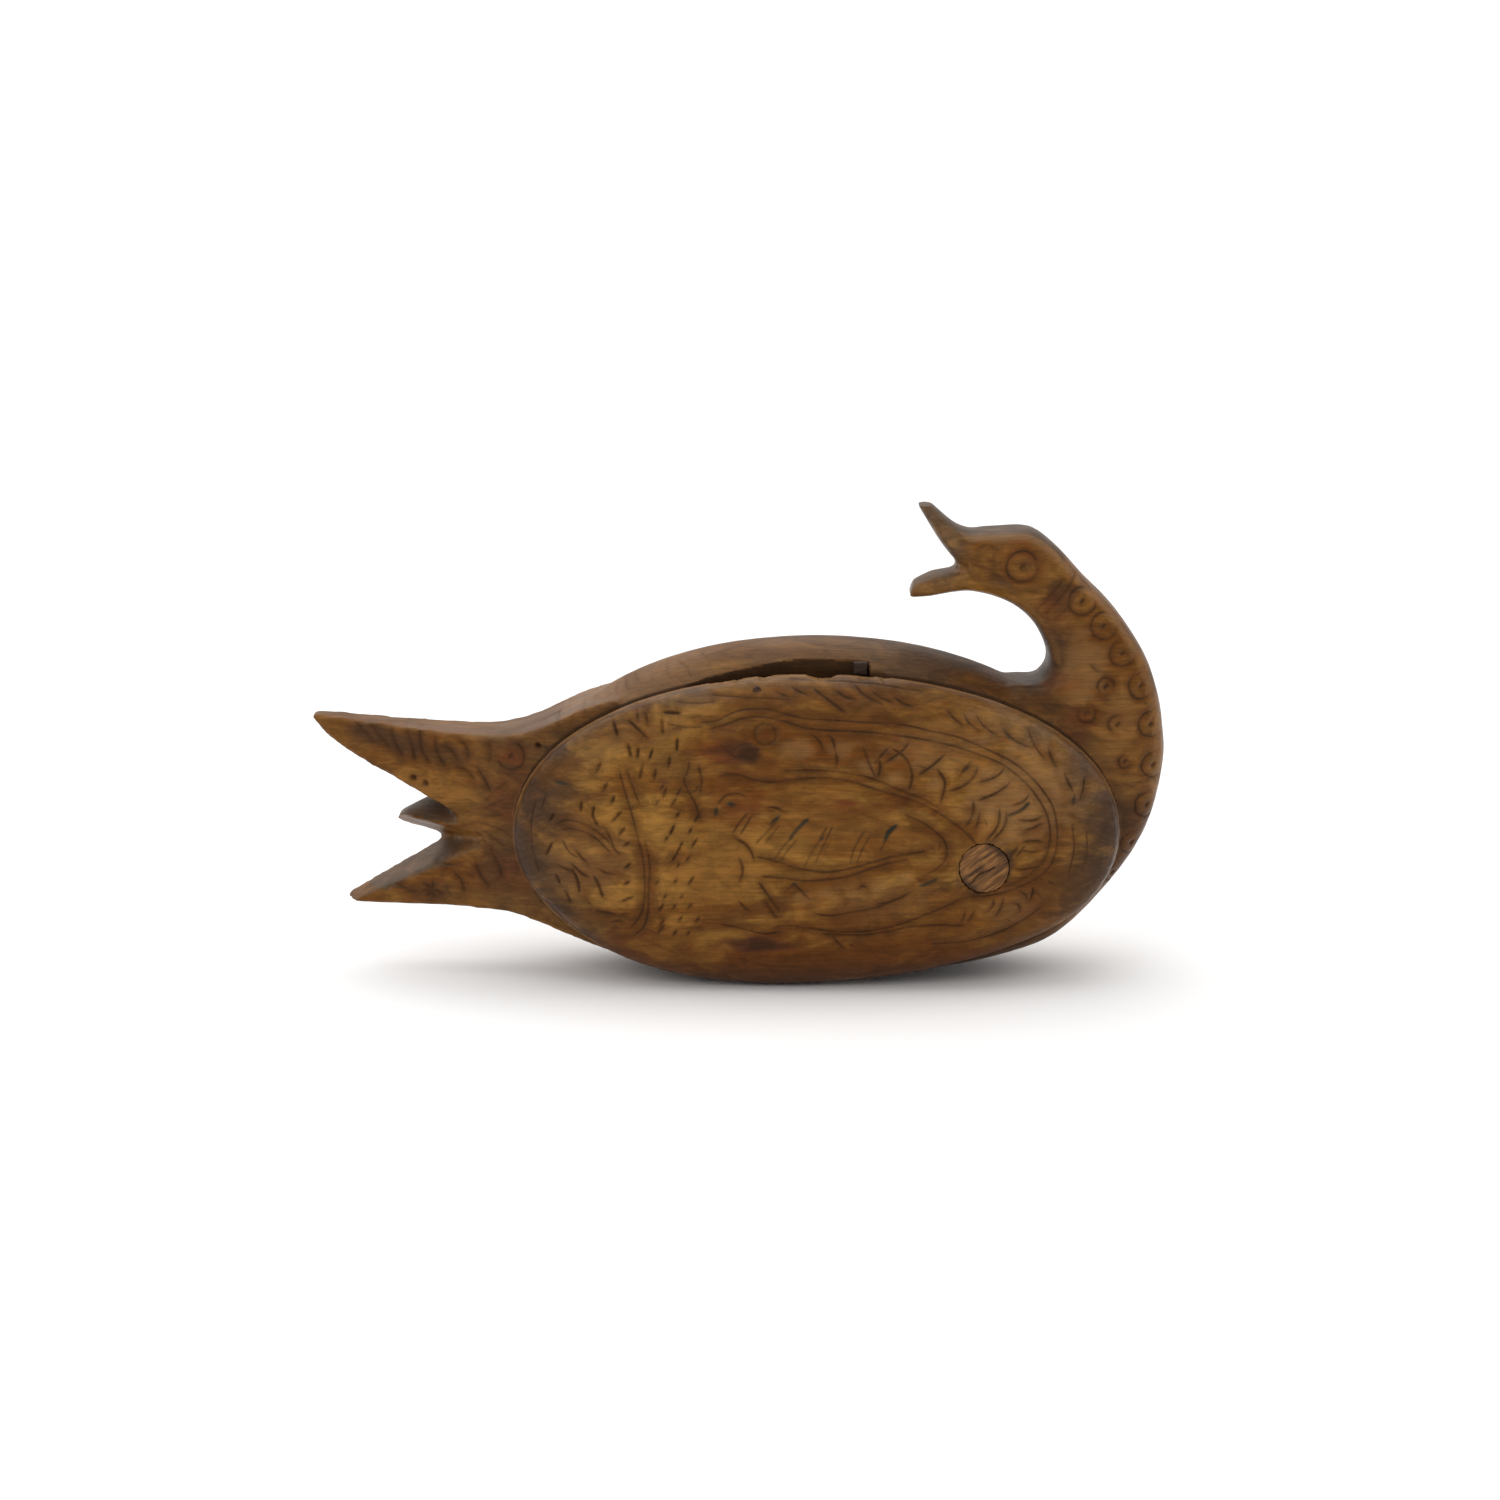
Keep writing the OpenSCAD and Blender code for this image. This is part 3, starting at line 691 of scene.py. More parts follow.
def buildLid():
    lid = copyOfNode("lid", "carved_lid")
    applyModifier(lid, "REMESH", mode="VOXEL", voxel_size=lidShape["voxel"])
    refine(lid, lidEdges)
    softenAndWrap(lid, "lid", lidShape["soften"], lidSoft, lidCrisp)
    thinOut(lid, lidHidden, 0.62)
    print("lid remeshed", len(lid.data.polygons))
    cuts = [
        # the border lines' wide glaze also paints shade beside them, where the relief falls away
        groove(borderLines, 2.0, 0.3, 0.22, 0.72, 2.8, 0.42, 0.42, 3.6, 0.7),
        groove(deepCuts, 1.8, 0.36, 0.26, 0.82, 1.8, 0.24, 0.42, 2.8, 0.6),
        groove(leafCuts, 0.9, 0.4, 0.32, 0.85, 1.0, 0.08, 0.3, 1.6, 0.3),
        groove(fineLines, 1.2, 0.24, 0.12, 0.7, 0.9, 0.05, 0.25, 1.6, 0.2),
        groove(tealCuts, 1.2, 0.46, 0.24, 0.9, 1.5, 0.1, 0.4, 2.2, 0.3, teal=0.9),
        groove([ring(6.2, 61.1, 2.4)], 0.0, 0.34, 0.16, 0.45, 1.2, 0.1, 0.5, 2.0, 0.5),
    ]
    unevenly(lid, 14, 0.3, 3.1)
    refineNear(lid, cuts, 0.85, facingFront)
    refineNear(lid, cuts, 0.42, facingFront)
    line, glaze_and_shade = carve(lid, [(cuts, facingFront)])
    at = coords(lid) / mm
    chip = np.zeros(len(at))
    for i in np.nonzero((at[:, 2] > 70.2) & (at[:, 0] > -16) & (at[:, 0] < 36))[0]:
        x, y = at[i, 0], at[i, 1]
        ragged = noise.noise(Vector((x * 0.42, y * 0.12, 5.5)))
        ragged += 0.5 * noise.noise(Vector((x * 1.5, 2.2, y * 0.5)))
        chip[i] = 0.6 * max(0, ragged) * min(1, (at[i, 2] - 70.2) / 1.4) * ramp(at[i, 1], -18.5, -15.5)
    at[:, 2] -= chip
    setCoords(lid, at * mm)
    r = lidRadius(at[:, 0], at[:, 2])
    front = at[:, 1] < -13.7
    left = ramp(-at[:, 0], 24, 46)
    right = ramp(at[:, 0], 66, 84)
    edge = ramp(r, 0.68, 0.96)
    # the lid is darkened towards its rim, most at both ends, and towards its bottom: painted shade on the
    # dome's steep edge and lower part, with patina along the rim
    patina_and_shade = edge * np.clip(0.25 + 0.8 * (left + 0.9 * right), 0, 1)
    patina_and_shade = np.maximum(patina_and_shade, 0.6 * ramp(16 - at[:, 2], 4, 15) * ramp(r, 0.6, 0.9))
    dark = [(-1.5, 57.2, 7.2, 2.8, 0.55), (1.8, 56.8, 3.8, 2.8, 1.0), (3.6, 11.9, 8.6, 2.2, 0.9),
            (5, 11.8, 5.6, 1.8, 1.0),
            (-10, 70, 4, 2, 0.6), (-6, 68.4, 3, 1.6, 0.5), (-15, 53, 7, 5, 0.35), (61.2, 31, 2, 5.5, 0.9),
            (58.5, 35.6, 4, 1.6, 0.9), (54.5, 24.4, 4, 1.4, 0.6), (50.6, 27.6, 1.2, 3, 0.6)]
    patina_and_shade = np.maximum(patina_and_shade, spots(at, dark))
    paint(lid, "patina_and_shade", patina_and_shade * front)
    # grey patches on the lid's upper right rim, right end and top edge: painted sheen where the top light
    # catches the dome, with dust
    sheen_and_dust = [(66, 63, 15, 6, 0.45), (-12, 69, 9, 3, 0.3), (80, 52, 8, 12, 0.3), (20, 72, 26, 1.6, 0.25)]
    paint(lid, "dust_and_sheen", front * spots(at, sheen_and_dust))
    # a pale line along the lid's edge: painted highlight where the edge catches the light, with wear
    lip = ramp(at[:, 1], -15.9, -15.2) * (1 - ramp(at[:, 1], -14.4, -13.9)) * ramp(r, 0.95, 0.985)
    # pale spots on the raised fish scales and a lighter right end: painted highlights where the light falls
    pale = [(29.4, 53.4, 2.6, 2, 0.5), (35.6, 50.9, 2.4, 2, 0.5), (40.8, 54.5, 2.4, 1.8, 0.45),
            (44.8, 49.8, 2.2, 1.8, 0.45),
            (13.3, 57.8, 5, 2.6, 0.5), (23.6, 57.6, 3, 2.2, 0.4), (47.7, 53.4, 2.2, 1.8, 0.4),
            (14.8, 23.4, 2.4, 1.8, 0.4),
            (19.9, 24.1, 2.4, 1.8, 0.4), (26.5, 24.1, 2.4, 1.8, 0.4), (32.4, 26.3, 2.4, 1.8, 0.4),
            (38.2, 27.8, 2.2, 1.6, 0.4),
            (64, 47, 14, 12, 0.75), (46, 58, 16, 6, 0.4), (-34, 32, 12, 9, 0.3), (30, 23, 18, 5, 0.2),
            (62, 20, 8, 5, 0.25)]
    paint(lid, "worn", np.maximum(0.6 * lip, spots(at, pale) * front))
    paint(lid, "raw", np.where(at[:, 1] > -13.6, 0.85, 0))
    red = [(-1.6, 57, 6, 3, 0.4), (4, 12, 9, 2.6, 0.4), (24, 45.6, 3, 0.9, 0.7), (1, 43, 5, 3, 0.35),
            (34, 45, 4, 2, 0.3), (6.2, 61.1, 1.3, 1.2, 0.6), (-5, 57, 5, 3, 0.5),
           (35.7, 60, 1, 0.9, 0.5), (37.8, 46.3, 1.1, 1, 0.6), (44.4, 43.2, 1.2, 0.8, 0.5)]
    paint(lid, "red", spots(at, red) * front)
    warm = [(12, 58, 26, 6, 0.9), (32, 54.5, 18, 6, 0.75), (2, 49, 15, 7, 0.9), (4, 5, 40, 10, 1.0),
            (40, 8, 34, 9, 0.9),
            (-14, 56, 9, 8, 0.4), (24, 40, 22, 9, 0.65), (-5, 29, 12, 15, 0.7), (-20, 10, 17, 8, 1.0)]
    paint(lid, "glaze_and_shade", np.maximum(glaze_and_shade, spots(at, warm) * front))
    bites = [(2.2, 56.6, 3.6, 2.2, 0.9), (-2.4, 57.4, 3.6, 1.5, 0.55), (5.4, 11.8, 5, 1.5, 0.9),
             (0.2, 12.2, 3.6, 1.1, 0.6)]
    line = np.maximum(line, 0.9 * spots(at, bites) * front)
    # the lid's edge facing the seam is painted dark: painted shadow in the gap
    paint(lid, "line", np.maximum(line, 0.75 * ramp(at[:, 1], -14.2, -13.7) * (r > 0.96)))
    lid.data.materials.append(waxedBoxwood("waxed_boxwood_lid", lidWood))
    pickOnly(lid)
    bpy.ops.object.shade_smooth_by_angle(angle=math.radians(46))
    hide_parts("lid")
    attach(lid, "side_lid")
    print("lid carved", len(lid.data.polygons))


# the body: trunk, tail, neck and head in one carved block

bodyShape = {
    "voxel": 0.95 * mm,
    "soften": 9,
    "farHalf": 36.6,
}

# rings round a dot: x, z, radius, where the cut starts and how far round it runs in degrees
neckRings = [
    (78.6, 89, 3.1, 75, 285), (83.6, 83.3, 3, 80, 260), (88, 77, 2.9, 110, 230), (92.4, 69.4, 2.9, 75, 235),
    (95, 60.4, 3, 85, 210), (95.8, 50.8, 2.9, 80, 215), (94.6, 41.4, 3, 90, 210),
    (91.2, 32.4, 2.7, 100, 210),
    (87, 25.2, 2.4, 110, 200), (84.3, 69.5, 1.9, -20, 250), (79.9, 63.2, 2.1, 160, 260),
    (87.2, 60.6, 2.1, 60, 200),
    (89, 51.9, 1.5, 100, 240), (64.8, 97.1, 3.6, 20, 345),
]
tailRing = (-52.3, 53.2, 3.2, 190, 250)
beetleHoles = [[(-75.4, 47.2), (-75.2, 47)], [(-72.6, 46), (-72.4, 45.8)], [(-46, 56), (-45.8, 55.8)]]

neckLines = [
    [(70, 86), (72.4, 88.4), (75, 91.8), (77.2, 95.2)],
    [(68.6, 87.4), (71.4, 90.6), (74, 94)],
    [(72.4, 84.6), (74.8, 87.2), (76.6, 90)],
    [(62, 90.8), (65, 91.4), (68.4, 91.2)],
    [(80.6, 74.8), (81.8, 73.4), (83.2, 72.8)],
    [(85.4, 47), (86.2, 45.4)],
    [(54.6, 101.2), (57, 101.6), (59.6, 100.6)],
]

tailLines = [
    [(-89, 60), (-86.4, 57.6), (-84.2, 55.4)], [(-85.6, 60), (-83.4, 57.4), (-80.6, 54)],
    [(-80.4, 59), (-79.4, 55.4), (-77.6, 52)],
    [(-77, 59), (-75.6, 55.4), (-74.8, 51)], [(-73.6, 58.6), (-73.2, 54), (-71.2, 50.4)],
    [(-70, 57.2), (-69.6, 53.4), (-67.6, 50)],
    [(-68.6, 55.2), (-66.4, 54), (-64.6, 51.6)], [(-64.6, 56.6), (-62.6, 54.6), (-62.4, 51.8)],
    [(-65.2, 50.4), (-62.4, 49), (-60.8, 47)],
    [(-60.4, 50.4), (-58.8, 47.6), (-57.2, 44.4)], [(-57.6, 56.4), (-57, 54), (-57.6, 51.4)],
    [(-73.8, 22.2), (-71.6, 20.6), (-70.6, 18.2)], [(-71.2, 22.8), (-71.4, 20.6), (-72.8, 18.6)],
    [(-74, 20.2), (-71.4, 20.4), (-68.4, 19.4)],
    [(-66.6, 25.4), (-64.4, 22.8), (-63.8, 20)], [(-63.2, 24.4), (-61.4, 24)],
    [(-61.2, 27.8), (-59.8, 24.4), (-57.8, 21.8)],
    [(-57.6, 31), (-55.6, 27.4), (-55, 24.2)], [(-80.4, 21.6), (-77, 20.2), (-74.6, 19.8)],
    [(-69.4, 27), (-66.6, 26.6), (-64, 27.4)],
]
tailFan = []
for i in range(7):  # lines that spread from the notch root towards the lid
    lean = 1.7 * i - 5
    tailFan.append([(-60.6 + 0.3 * i, 37 + 0.9 * lean), (-56.6, 36 + 1.6 * lean), (-53.6, 35 + 2.3 * lean)])

backLines = []
for i in range(13):  # short strokes over the back between the tail and the slot
    x = -44 + 3.1 * i + random.uniform(-1.2, 1.2)
    along = min(0.99, abs(x - lidShape["centreX"]) / lidShape["halfLong"])
    power = lidShape["power"]
    seam = lidShape["centreZ"] + lidShape["halfUp"] * (1 - along ** power) ** (1 / power)
    foot = seam + random.uniform(1.2, 3)
    rise = random.uniform(1.6, 3.6)
    middle = x - 0.5 + random.uniform(-0.8, 0.8)
    tip = x - random.uniform(0.2, 2.4)
    backLines.append([(x, foot), (middle, foot + rise / 2), (tip, foot + rise)])


def nearSide(at, out):
    edgeOn = np.where(at[:, 0] < 40, 0.25, -0.3)
    return (out[:, 1] < edgeOn) & (at[:, 1] < -1) & ((at[:, 2] > 60) | (at[:, 0] < -44) | (at[:, 0] > 60))


def farSide(at, out):
    return (out[:, 1] > 0.3) & (at[:, 1] > 1)


def onFlank(share, turn):
    # a point on an oval that is this share of the far flank
    return (
        lidShape["centreX"] + lidShape["halfLong"] * share * math.cos(turn),
        lidShape["centreZ"] + bodyShape["farHalf"] * share * math.sin(turn),
    )


def farMarks():
    # the far flank: a double oval border, rim cuts and rows of leaf cuts
    borders = [[onFlank(share, 2 * math.pi * i / 32) for i in range(33)] for share in (0.74, 0.7)]
    rim = []
    for i in range(44):
        turn = 2 * math.pi * i / 44 + random.uniform(-0.03, 0.03)
        rim.append([onFlank(0.79, turn - 0.03), onFlank(0.9, turn + 0.03)])
    leaves = []
    for row in range(8):
        for column in range(22):
            x = -24 + 4 * column + (row % 2) * 2 + random.uniform(-0.5, 0.5)
            z = 18 + 5 * row + random.uniform(-0.5, 0.5)
            if ((x - lidShape["centreX"]) / 46) ** 2 + ((z - lidShape["centreZ"]) / 22) ** 2 < 1:
                leaves.append([(x + 0.6, z + 1), (x - 0.6, z - 1)])
    return borders, rim, leaves


def bodyCrisp(at):
    x, y, z = at[:, 0], at[:, 1], at[:, 2]
    r = lidRadius(x, z)
    seam = (y < -10.5) * ramp(r, 0.9, 0.94) * (1 - ramp(r, 1.015, 1.04)) * (x > -58)
    slot = (y < -9.4) * (x > -14) * (x < 36) * (z > 60)
    return np.clip(np.maximum(seam, slot), 0, 1)


def bodyEdges(at, out):
    # the rim of the seam, the slot and the tips of the beak get finer faces before they are softened
    x, y, z = at[:, 0], at[:, 1], at[:, 2]
    r = lidRadius(x, z)
    rim = (y < -11.2) & (r > 0.975) & (r < 1.02) & (x > -56)
    slot = (y < -9.2) & (x > -13) & (x < 34) & (z > 68)
    beak = (x < 56) & (x > 30) & (z > 86)
    return rim | slot | beak


def bodySoft(at):
    x, y, z = at[:, 0], at[:, 1], at[:, 2]
    beak = 0.7 * (1 - ramp(x, 48, 56)) * (z > 86) * (x > 30)
    return 1 - np.maximum.reduce([beak, 0.25 * ramp(-x, 84, 94), 0.9 * bodyCrisp(at)])


def pullTips(piece, before):
    # smoothing draws in the tail's tips and the beak's; this puts them back to their full length
    at = coords(piece) / mm
    x, z = at[:, 0], at[:, 2]
    tail = x < -50
    at[tail, 0] = -50 + (x[tail] + 50) * (before[:, 0].min() + 50.3) / (x.min() + 50)
    for low, high in ((86, 96), (96, 120)):
        beak = (x < 57) & (x > 20) & (z > low) & (z <= high)
        was = (before[:, 0] > 20) & (before[:, 2] > low) & (before[:, 2] <= high)
        at[beak, 0] = 57 + (x[beak] - 57) * (before[was, 0].min() - 56.8) / (x[beak].min() - 57)
    upper = (x > 20) & (z > 98)
    share = 1 - ramp(x[upper], 48, 57)
    at[upper, 2] = z[upper] + share * (z[upper] - 98) * ((before[:, 2].max() - 98.2) / (z.max() - 98) - 1)
    setCoords(piece, at * mm)


def bodyInside(at):
    x, y, z = at[:, 0], at[:, 1], at[:, 2]
    r = lidRadius(x, z)
    inside = (r < 0.93) & (y < 19) & (z < 72.5) & ((y > -12.6) | (r < 0.9))
    nearFace = (y < -12.6) & (r < 0.97)
    hollow = (np.abs(x - 1) < 44.5) & (np.abs(z - 37.5) < 31.5) & (y < 18.6)
    return nearFace | (inside & hollow)


def buildBody():
    body = copyOfNode("body", "carved_bird")
    before = coords(body) / mm
    applyModifier(body, "REMESH", mode="VOXEL", voxel_size=bodyShape["voxel"])
    refine(body, bodyEdges)
    softenAndWrap(body, "body", bodyShape["soften"], bodySoft, bodyCrisp)
    pullTips(body, before)
    thinOut(body, bodyInside, 0.8)
    print("body remeshed", len(body.data.polygons))
    allRings = neckRings + [tailRing]
    rings = groove([ring(*each) for each in allRings], 1.5, 0.34, 0.18, 0.75, 1.4, 0.12, 0.55, 2.4, 0.7)
    centres = [[(each[0] - 0.2, each[1] - 0.2), (each[0] + 0.2, each[1] + 0.2)] for each in allRings]
    dots = groove(centres, 0.0, 0.5, 0.34, 0.8, 1.3, 0.1, 0.5, 2.0, 0.5)
    pits = groove(beetleHoles, 0.0, 0.7, 0.7, 1.0, 1.1, 0.1, 0.6, 1.4, 0.4)
    strokes = groove(neckLines, 1.2, 0.3, 0.12, 0.42, 1.2, 0.06, 0.35, 2.0, 0.4)
    faint = groove(backLines, 1.2, 0.3, 0.1, 0.2, 1.2, 0.05, 0.22, 2.0, 0.3)
    feathers = groove(tailLines, 1.6, 0.42, 0.2, 0.6, 2.0, 0.14, 0.65, 3.4, 0.8)
    fan = groove(tailFan, 1.6, 0.3, 0.1, 0.35, 1.2, 0.06, 0.3, 2.0, 0.4)
    borders, rim, leaves = farMarks()
    double = groove(borders, 0.0, 0.45, 0.24, 0.65, 2.0, 0.3, 0.5, 3.0, 0.5)
    rows = groove(rim + leaves, 1.2, 0.6, 0.32, 0.75, 1.3, 0.1, 0.4, 2.0, 0.3)
    nearCuts = [rings, dots, pits, strokes, faint, feathers, fan]
    farCuts = [rings, dots, feathers, double, rows]
    unevenly(body, 16, 0.3, 7.7)
    refineNear(body, nearCuts, 0.95, nearSide)
    refineNear(body, farCuts, 0.7, farSide)
    refineNear(body, nearCuts, 0.45, nearSide)
    line, glaze_and_shade = carve(body, [(nearCuts, nearSide), (farCuts, farSide)])
    paint(body, "glaze_and_shade", glaze_and_shade)

    at = coords(body) / mm
    out = normals(body)
    x, y, z = at[:, 0], at[:, 1], at[:, 2]
    r = lidRadius(x, z)
    inside = bodyInside(at)
    # a darker band on the body all round the lid: painted shadow beside the lid's edge, with patina
    seam = (1 - ramp(np.abs(r - 1), 0.0, 0.16)) * (y < -4) * (x > -60)
    # the crook between back and neck is darkened: painted shade in the hollow
    crook = np.exp(-(((x - 68) / 8) ** 2 + ((z - 75) / 8) ** 2)) * (out[:, 0] < 0.5)
    top = ramp(out[:, 2], 0.45, 0.9)
    side = np.abs(out[:, 1]) > 0.35
    patina_and_shade = np.maximum(0.6 * seam, 1.6 * crook)
    patina_and_shade = np.maximum(patina_and_shade, 0.7 * ramp(x, 26, 44) * (z > 60) * (x < 66) * (z < 84))
    patina_and_shade = np.maximum(patina_and_shade, 0.6 * ramp(-x, 38, 50) * ramp(x, -66, -54))
    patina_and_shade = np.maximum(patina_and_shade, side * spots(at, [
        (74, 90.4, 4.4, 5.2, 0.6), (-85, 57.4, 7, 3.4, 0.8), (-77, 55, 7, 3.6, 0.75),
        (-67, 53, 7, 3.4, 0.6),
        (-70, 20, 10, 3, 0.5), (66, 99, 4, 3, 0.3), (60, 93, 4, 2, 0.5), (95, 44, 4, 16, 0.3)]))
    # darker towards the bottom: painted shade under the body
    patina_and_shade = np.maximum(patina_and_shade, 0.9 * ramp(17 - z, 0, 13))
    patina_and_shade = np.maximum(patina_and_shade, 0.6 * top * ramp(z, 97, 103))
    patina_and_shade = np.where(inside, 0.45, patina_and_shade)
    # greyish upward faces of the back, head top, tail notches, crook and upper beak: painted sheen from the
    # top light, with dust
    dust_and_sheen = 0.45 * top * ramp(z, 70, 77) * ramp(x, -6, 14) * (x < 60)
    dust_and_sheen = np.maximum(dust_and_sheen, 0.75 * top * ramp(z, 97, 103))
    dust_and_sheen = np.maximum(dust_and_sheen, 0.75 * ramp(out[:, 2], 0.2, 0.6) * (x < -60) * (x > -92) * (z > 20) * (z < 46))
    dust_and_sheen = np.maximum(dust_and_sheen, 0.6 * crook * ramp(out[:, 2] - 0.4 * out[:, 0], 0.3, 0.8))
    dust_and_sheen = np.maximum(dust_and_sheen, 0.7 * (1 - ramp(x, 48, 54)) * (x > 36) * (z > 86) * (1 - 0.5 * side * (z < 94)))
    dust_and_sheen = np.where(inside, 0.1, dust_and_sheen)
    # the neck's outer edge is rubbed lighter; the upward faces of the tail top and the back are lightened
    # too, a painted highlight from the top light
    rolled = ramp(np.abs(out[:, 1]), 0.3, 0.55) * (1 - ramp(np.abs(out[:, 1]), 0.75, 0.92))
    outer = (x + 0.75 * (z - 60) > 84) & (z > 24)
    worn = np.maximum(0.5 * rolled * outer, 0.4 * ramp(out[:, 2], 0.2, 0.7) * ramp(-x, 36, 54) * (z > 52))
    worn = np.maximum(worn, spots(at, [(49, 101.8, 1.6, 1.2, 0.8), (79, 73, 6, 9, 0.5), (88, 62, 5, 8, 0.3)]))
    worn = np.maximum(worn, 0.45 * top * ramp(-x, -4, 12) * (z > 62))
    worn = np.where(inside, 0, worn)
    # the slot's channel is painted near-black: painted shade in the narrow recess behind the lid
    slotBack = np.interp(x, (-11.1, 0.9, 12.9), (-12.7, -11.5, -10.2))
    channel = (x > -11.5) & (x < 30.2) & (y > -13.3) & (y < slotBack + 0.25) & (z > 58)
    line = np.where(channel & ((out[:, 2] < 0.8) | (y < slotBack - 0.6)), 0.9, line)
    # a dark line on the body along the seam: painted shadow in the gap to the lid; the little in the crook is
    # painted shade
    line = np.maximum(line, 0.85 * (1 - ramp(np.abs(r - 1), 0.004, 0.016)) * (y < -12.2) * (x > -60))
    line = np.maximum(line, 0.24 * crook * (out[:, 2] < 0.7))
    paint(body, "line", line)
    paint(body, "patina_and_shade", patina_and_shade)
    paint(body, "dust_and_sheen", dust_and_sheen)
    paint(body, "worn", worn)
    paint(body, "raw", np.where(inside & ~channel, 0.5, 0))
    red = [(-52.3, 53.2, 3.4, 2.8, 0.55), (-52, 43, 6, 8, 0.3), (72, 88, 4, 5, 0.3),
            (-50, 26, 6, 6, 0.3), (74, 70, 5, 3, 0.4),
           (64, 101, 5, 3, 0.3), (78, 60, 5, 5, 0.3)]
    paint(body, "red", spots(at, red) * side)
    body.data.materials.append(waxedBoxwood("waxed_boxwood_body", bodyWood))
    pickOnly(body)
    bpy.ops.object.shade_smooth_by_angle(angle=math.radians(50))
    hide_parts("body")
    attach(body, "bird_body")
    print("body carved", len(body.data.polygons))


# the peg: its head shows fibres that rise to the breast, and one split

pegShape = {
    "radius": 5.62 * mm,
    "shank": 3.5 * mm,
    "headDepth": 6.2 * mm,
    "fibreAngle": math.radians(35),
    "ridge": 0.32,
}


def buildPeg():
    low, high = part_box("pivot_peg")
    x, z = (low.x + high.x) / 2, (low.z + high.z) / 2
    headDepth = pegShape["headDepth"]
    bpy.ops.object.select_all(action="DESELECT")
    bpy.ops.mesh.primitive_cylinder_add(
        vertices=64, radius=pegShape["radius"], depth=headDepth,
        location=(x, low.y + headDepth / 2, z), rotation=(math.pi / 2, 0, 0),
    )
    peg = bpy.context.object
    peg.name = "peg_wood"
    bpy.ops.object.transform_apply(location=True, rotation=True, scale=True)
    selectFaces(peg, [face.normal.y > 0.9 for face in peg.data.polygons])
    bpy.ops.mesh.inset(thickness=pegShape["radius"] - pegShape["shank"])
    shankDepth = high.y - low.y - headDepth - 0.05 * mm
    bpy.ops.mesh.extrude_region_move(TRANSFORM_OT_translate={"value": (0, shankDepth, 0)})
    bpy.ops.object.mode_set(mode="OBJECT")
    selectFaces(peg, [face.normal.y < -0.9 for face in peg.data.polygons])
    bpy.ops.mesh.inset(thickness=0.5 * mm)
    for i in range(6):
        bpy.ops.mesh.inset(thickness=0.72 * mm)
    bpy.ops.object.mode_set(mode="OBJECT")
    applyModifier(peg, "REMESH", mode="VOXEL", voxel_size=0.24 * mm)
    applyModifier(peg, "SMOOTH", factor=0.5, iterations=6)
    at = coords(peg)
    out = normals(peg)
    ca, sa = math.cos(pegShape["fibreAngle"]), math.sin(pegShape["fibreAngle"])
    push = np.zeros(len(at))
    dirt = np.zeros(len(at))
    for i, p in enumerate(at):
        along = ((p[0] - x) * ca + (p[2] - z) * sa) / mm
        across = (-(p[0] - x) * sa + (p[2] - z) * ca) / mm
        r = math.hypot(along, across)
        if p[1] > low.y + 3 * mm:
            continue
        ridge = noise.noise(Vector((along * 0.22, across * 1.6, 3.3)))
        fine = noise.noise(Vector((along * 0.5, across * 4.2, 9.1)))
        push[i] = pegShape["ridge"] * (0.5 + 0.5 * ridge) + 0.12 * (0.5 + 0.5 * fine)
        push[i] += 0.12 * max(0, r - 4.6) ** 2  # rounded at the rim
        split = abs(across + 0.9 + 0.3 * math.sin(along))
        if split < 0.34 and -5 < along < 2.2:
            push[i] += 0.6 * (1 - split / 0.34)
            dirt[i] = 1 - split / 0.34
        dirt[i] = max(dirt[i], 0.75 * max(0, min(1, (ridge * -2.2))))
        grime = max(0, math.cos(2 * math.atan2(across, along) - 0.5))
        dirt[i] = max(dirt[i], max(0, min(1, (r - 3.8) / 1.4)) * 0.9 * grime)
    face = np.clip(-out[:, 1], 0, 1)
    at[:, 1] += push * mm * face
    setCoords(peg, at)
    paint(peg, "dirt", dirt)
    peg.data.materials.clear()
    peg.data.materials.append(darkWood(
        "split_peg_wood", srgb(138, 96, 52), srgb(90, 57, 29),
        (150, 700, 2000), (0, pegShape["fibreAngle"], 0), 0.55,
    ))
    pickOnly(peg)
    bpy.ops.object.shade_smooth()
    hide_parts("pivot_peg")
    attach(peg, "bird_body")
    print("peg made", len(peg.data.polygons))


smallShape = {
    "pinRadius": 0.98 * mm,
    "blockBevel": 0.35 * mm,
}


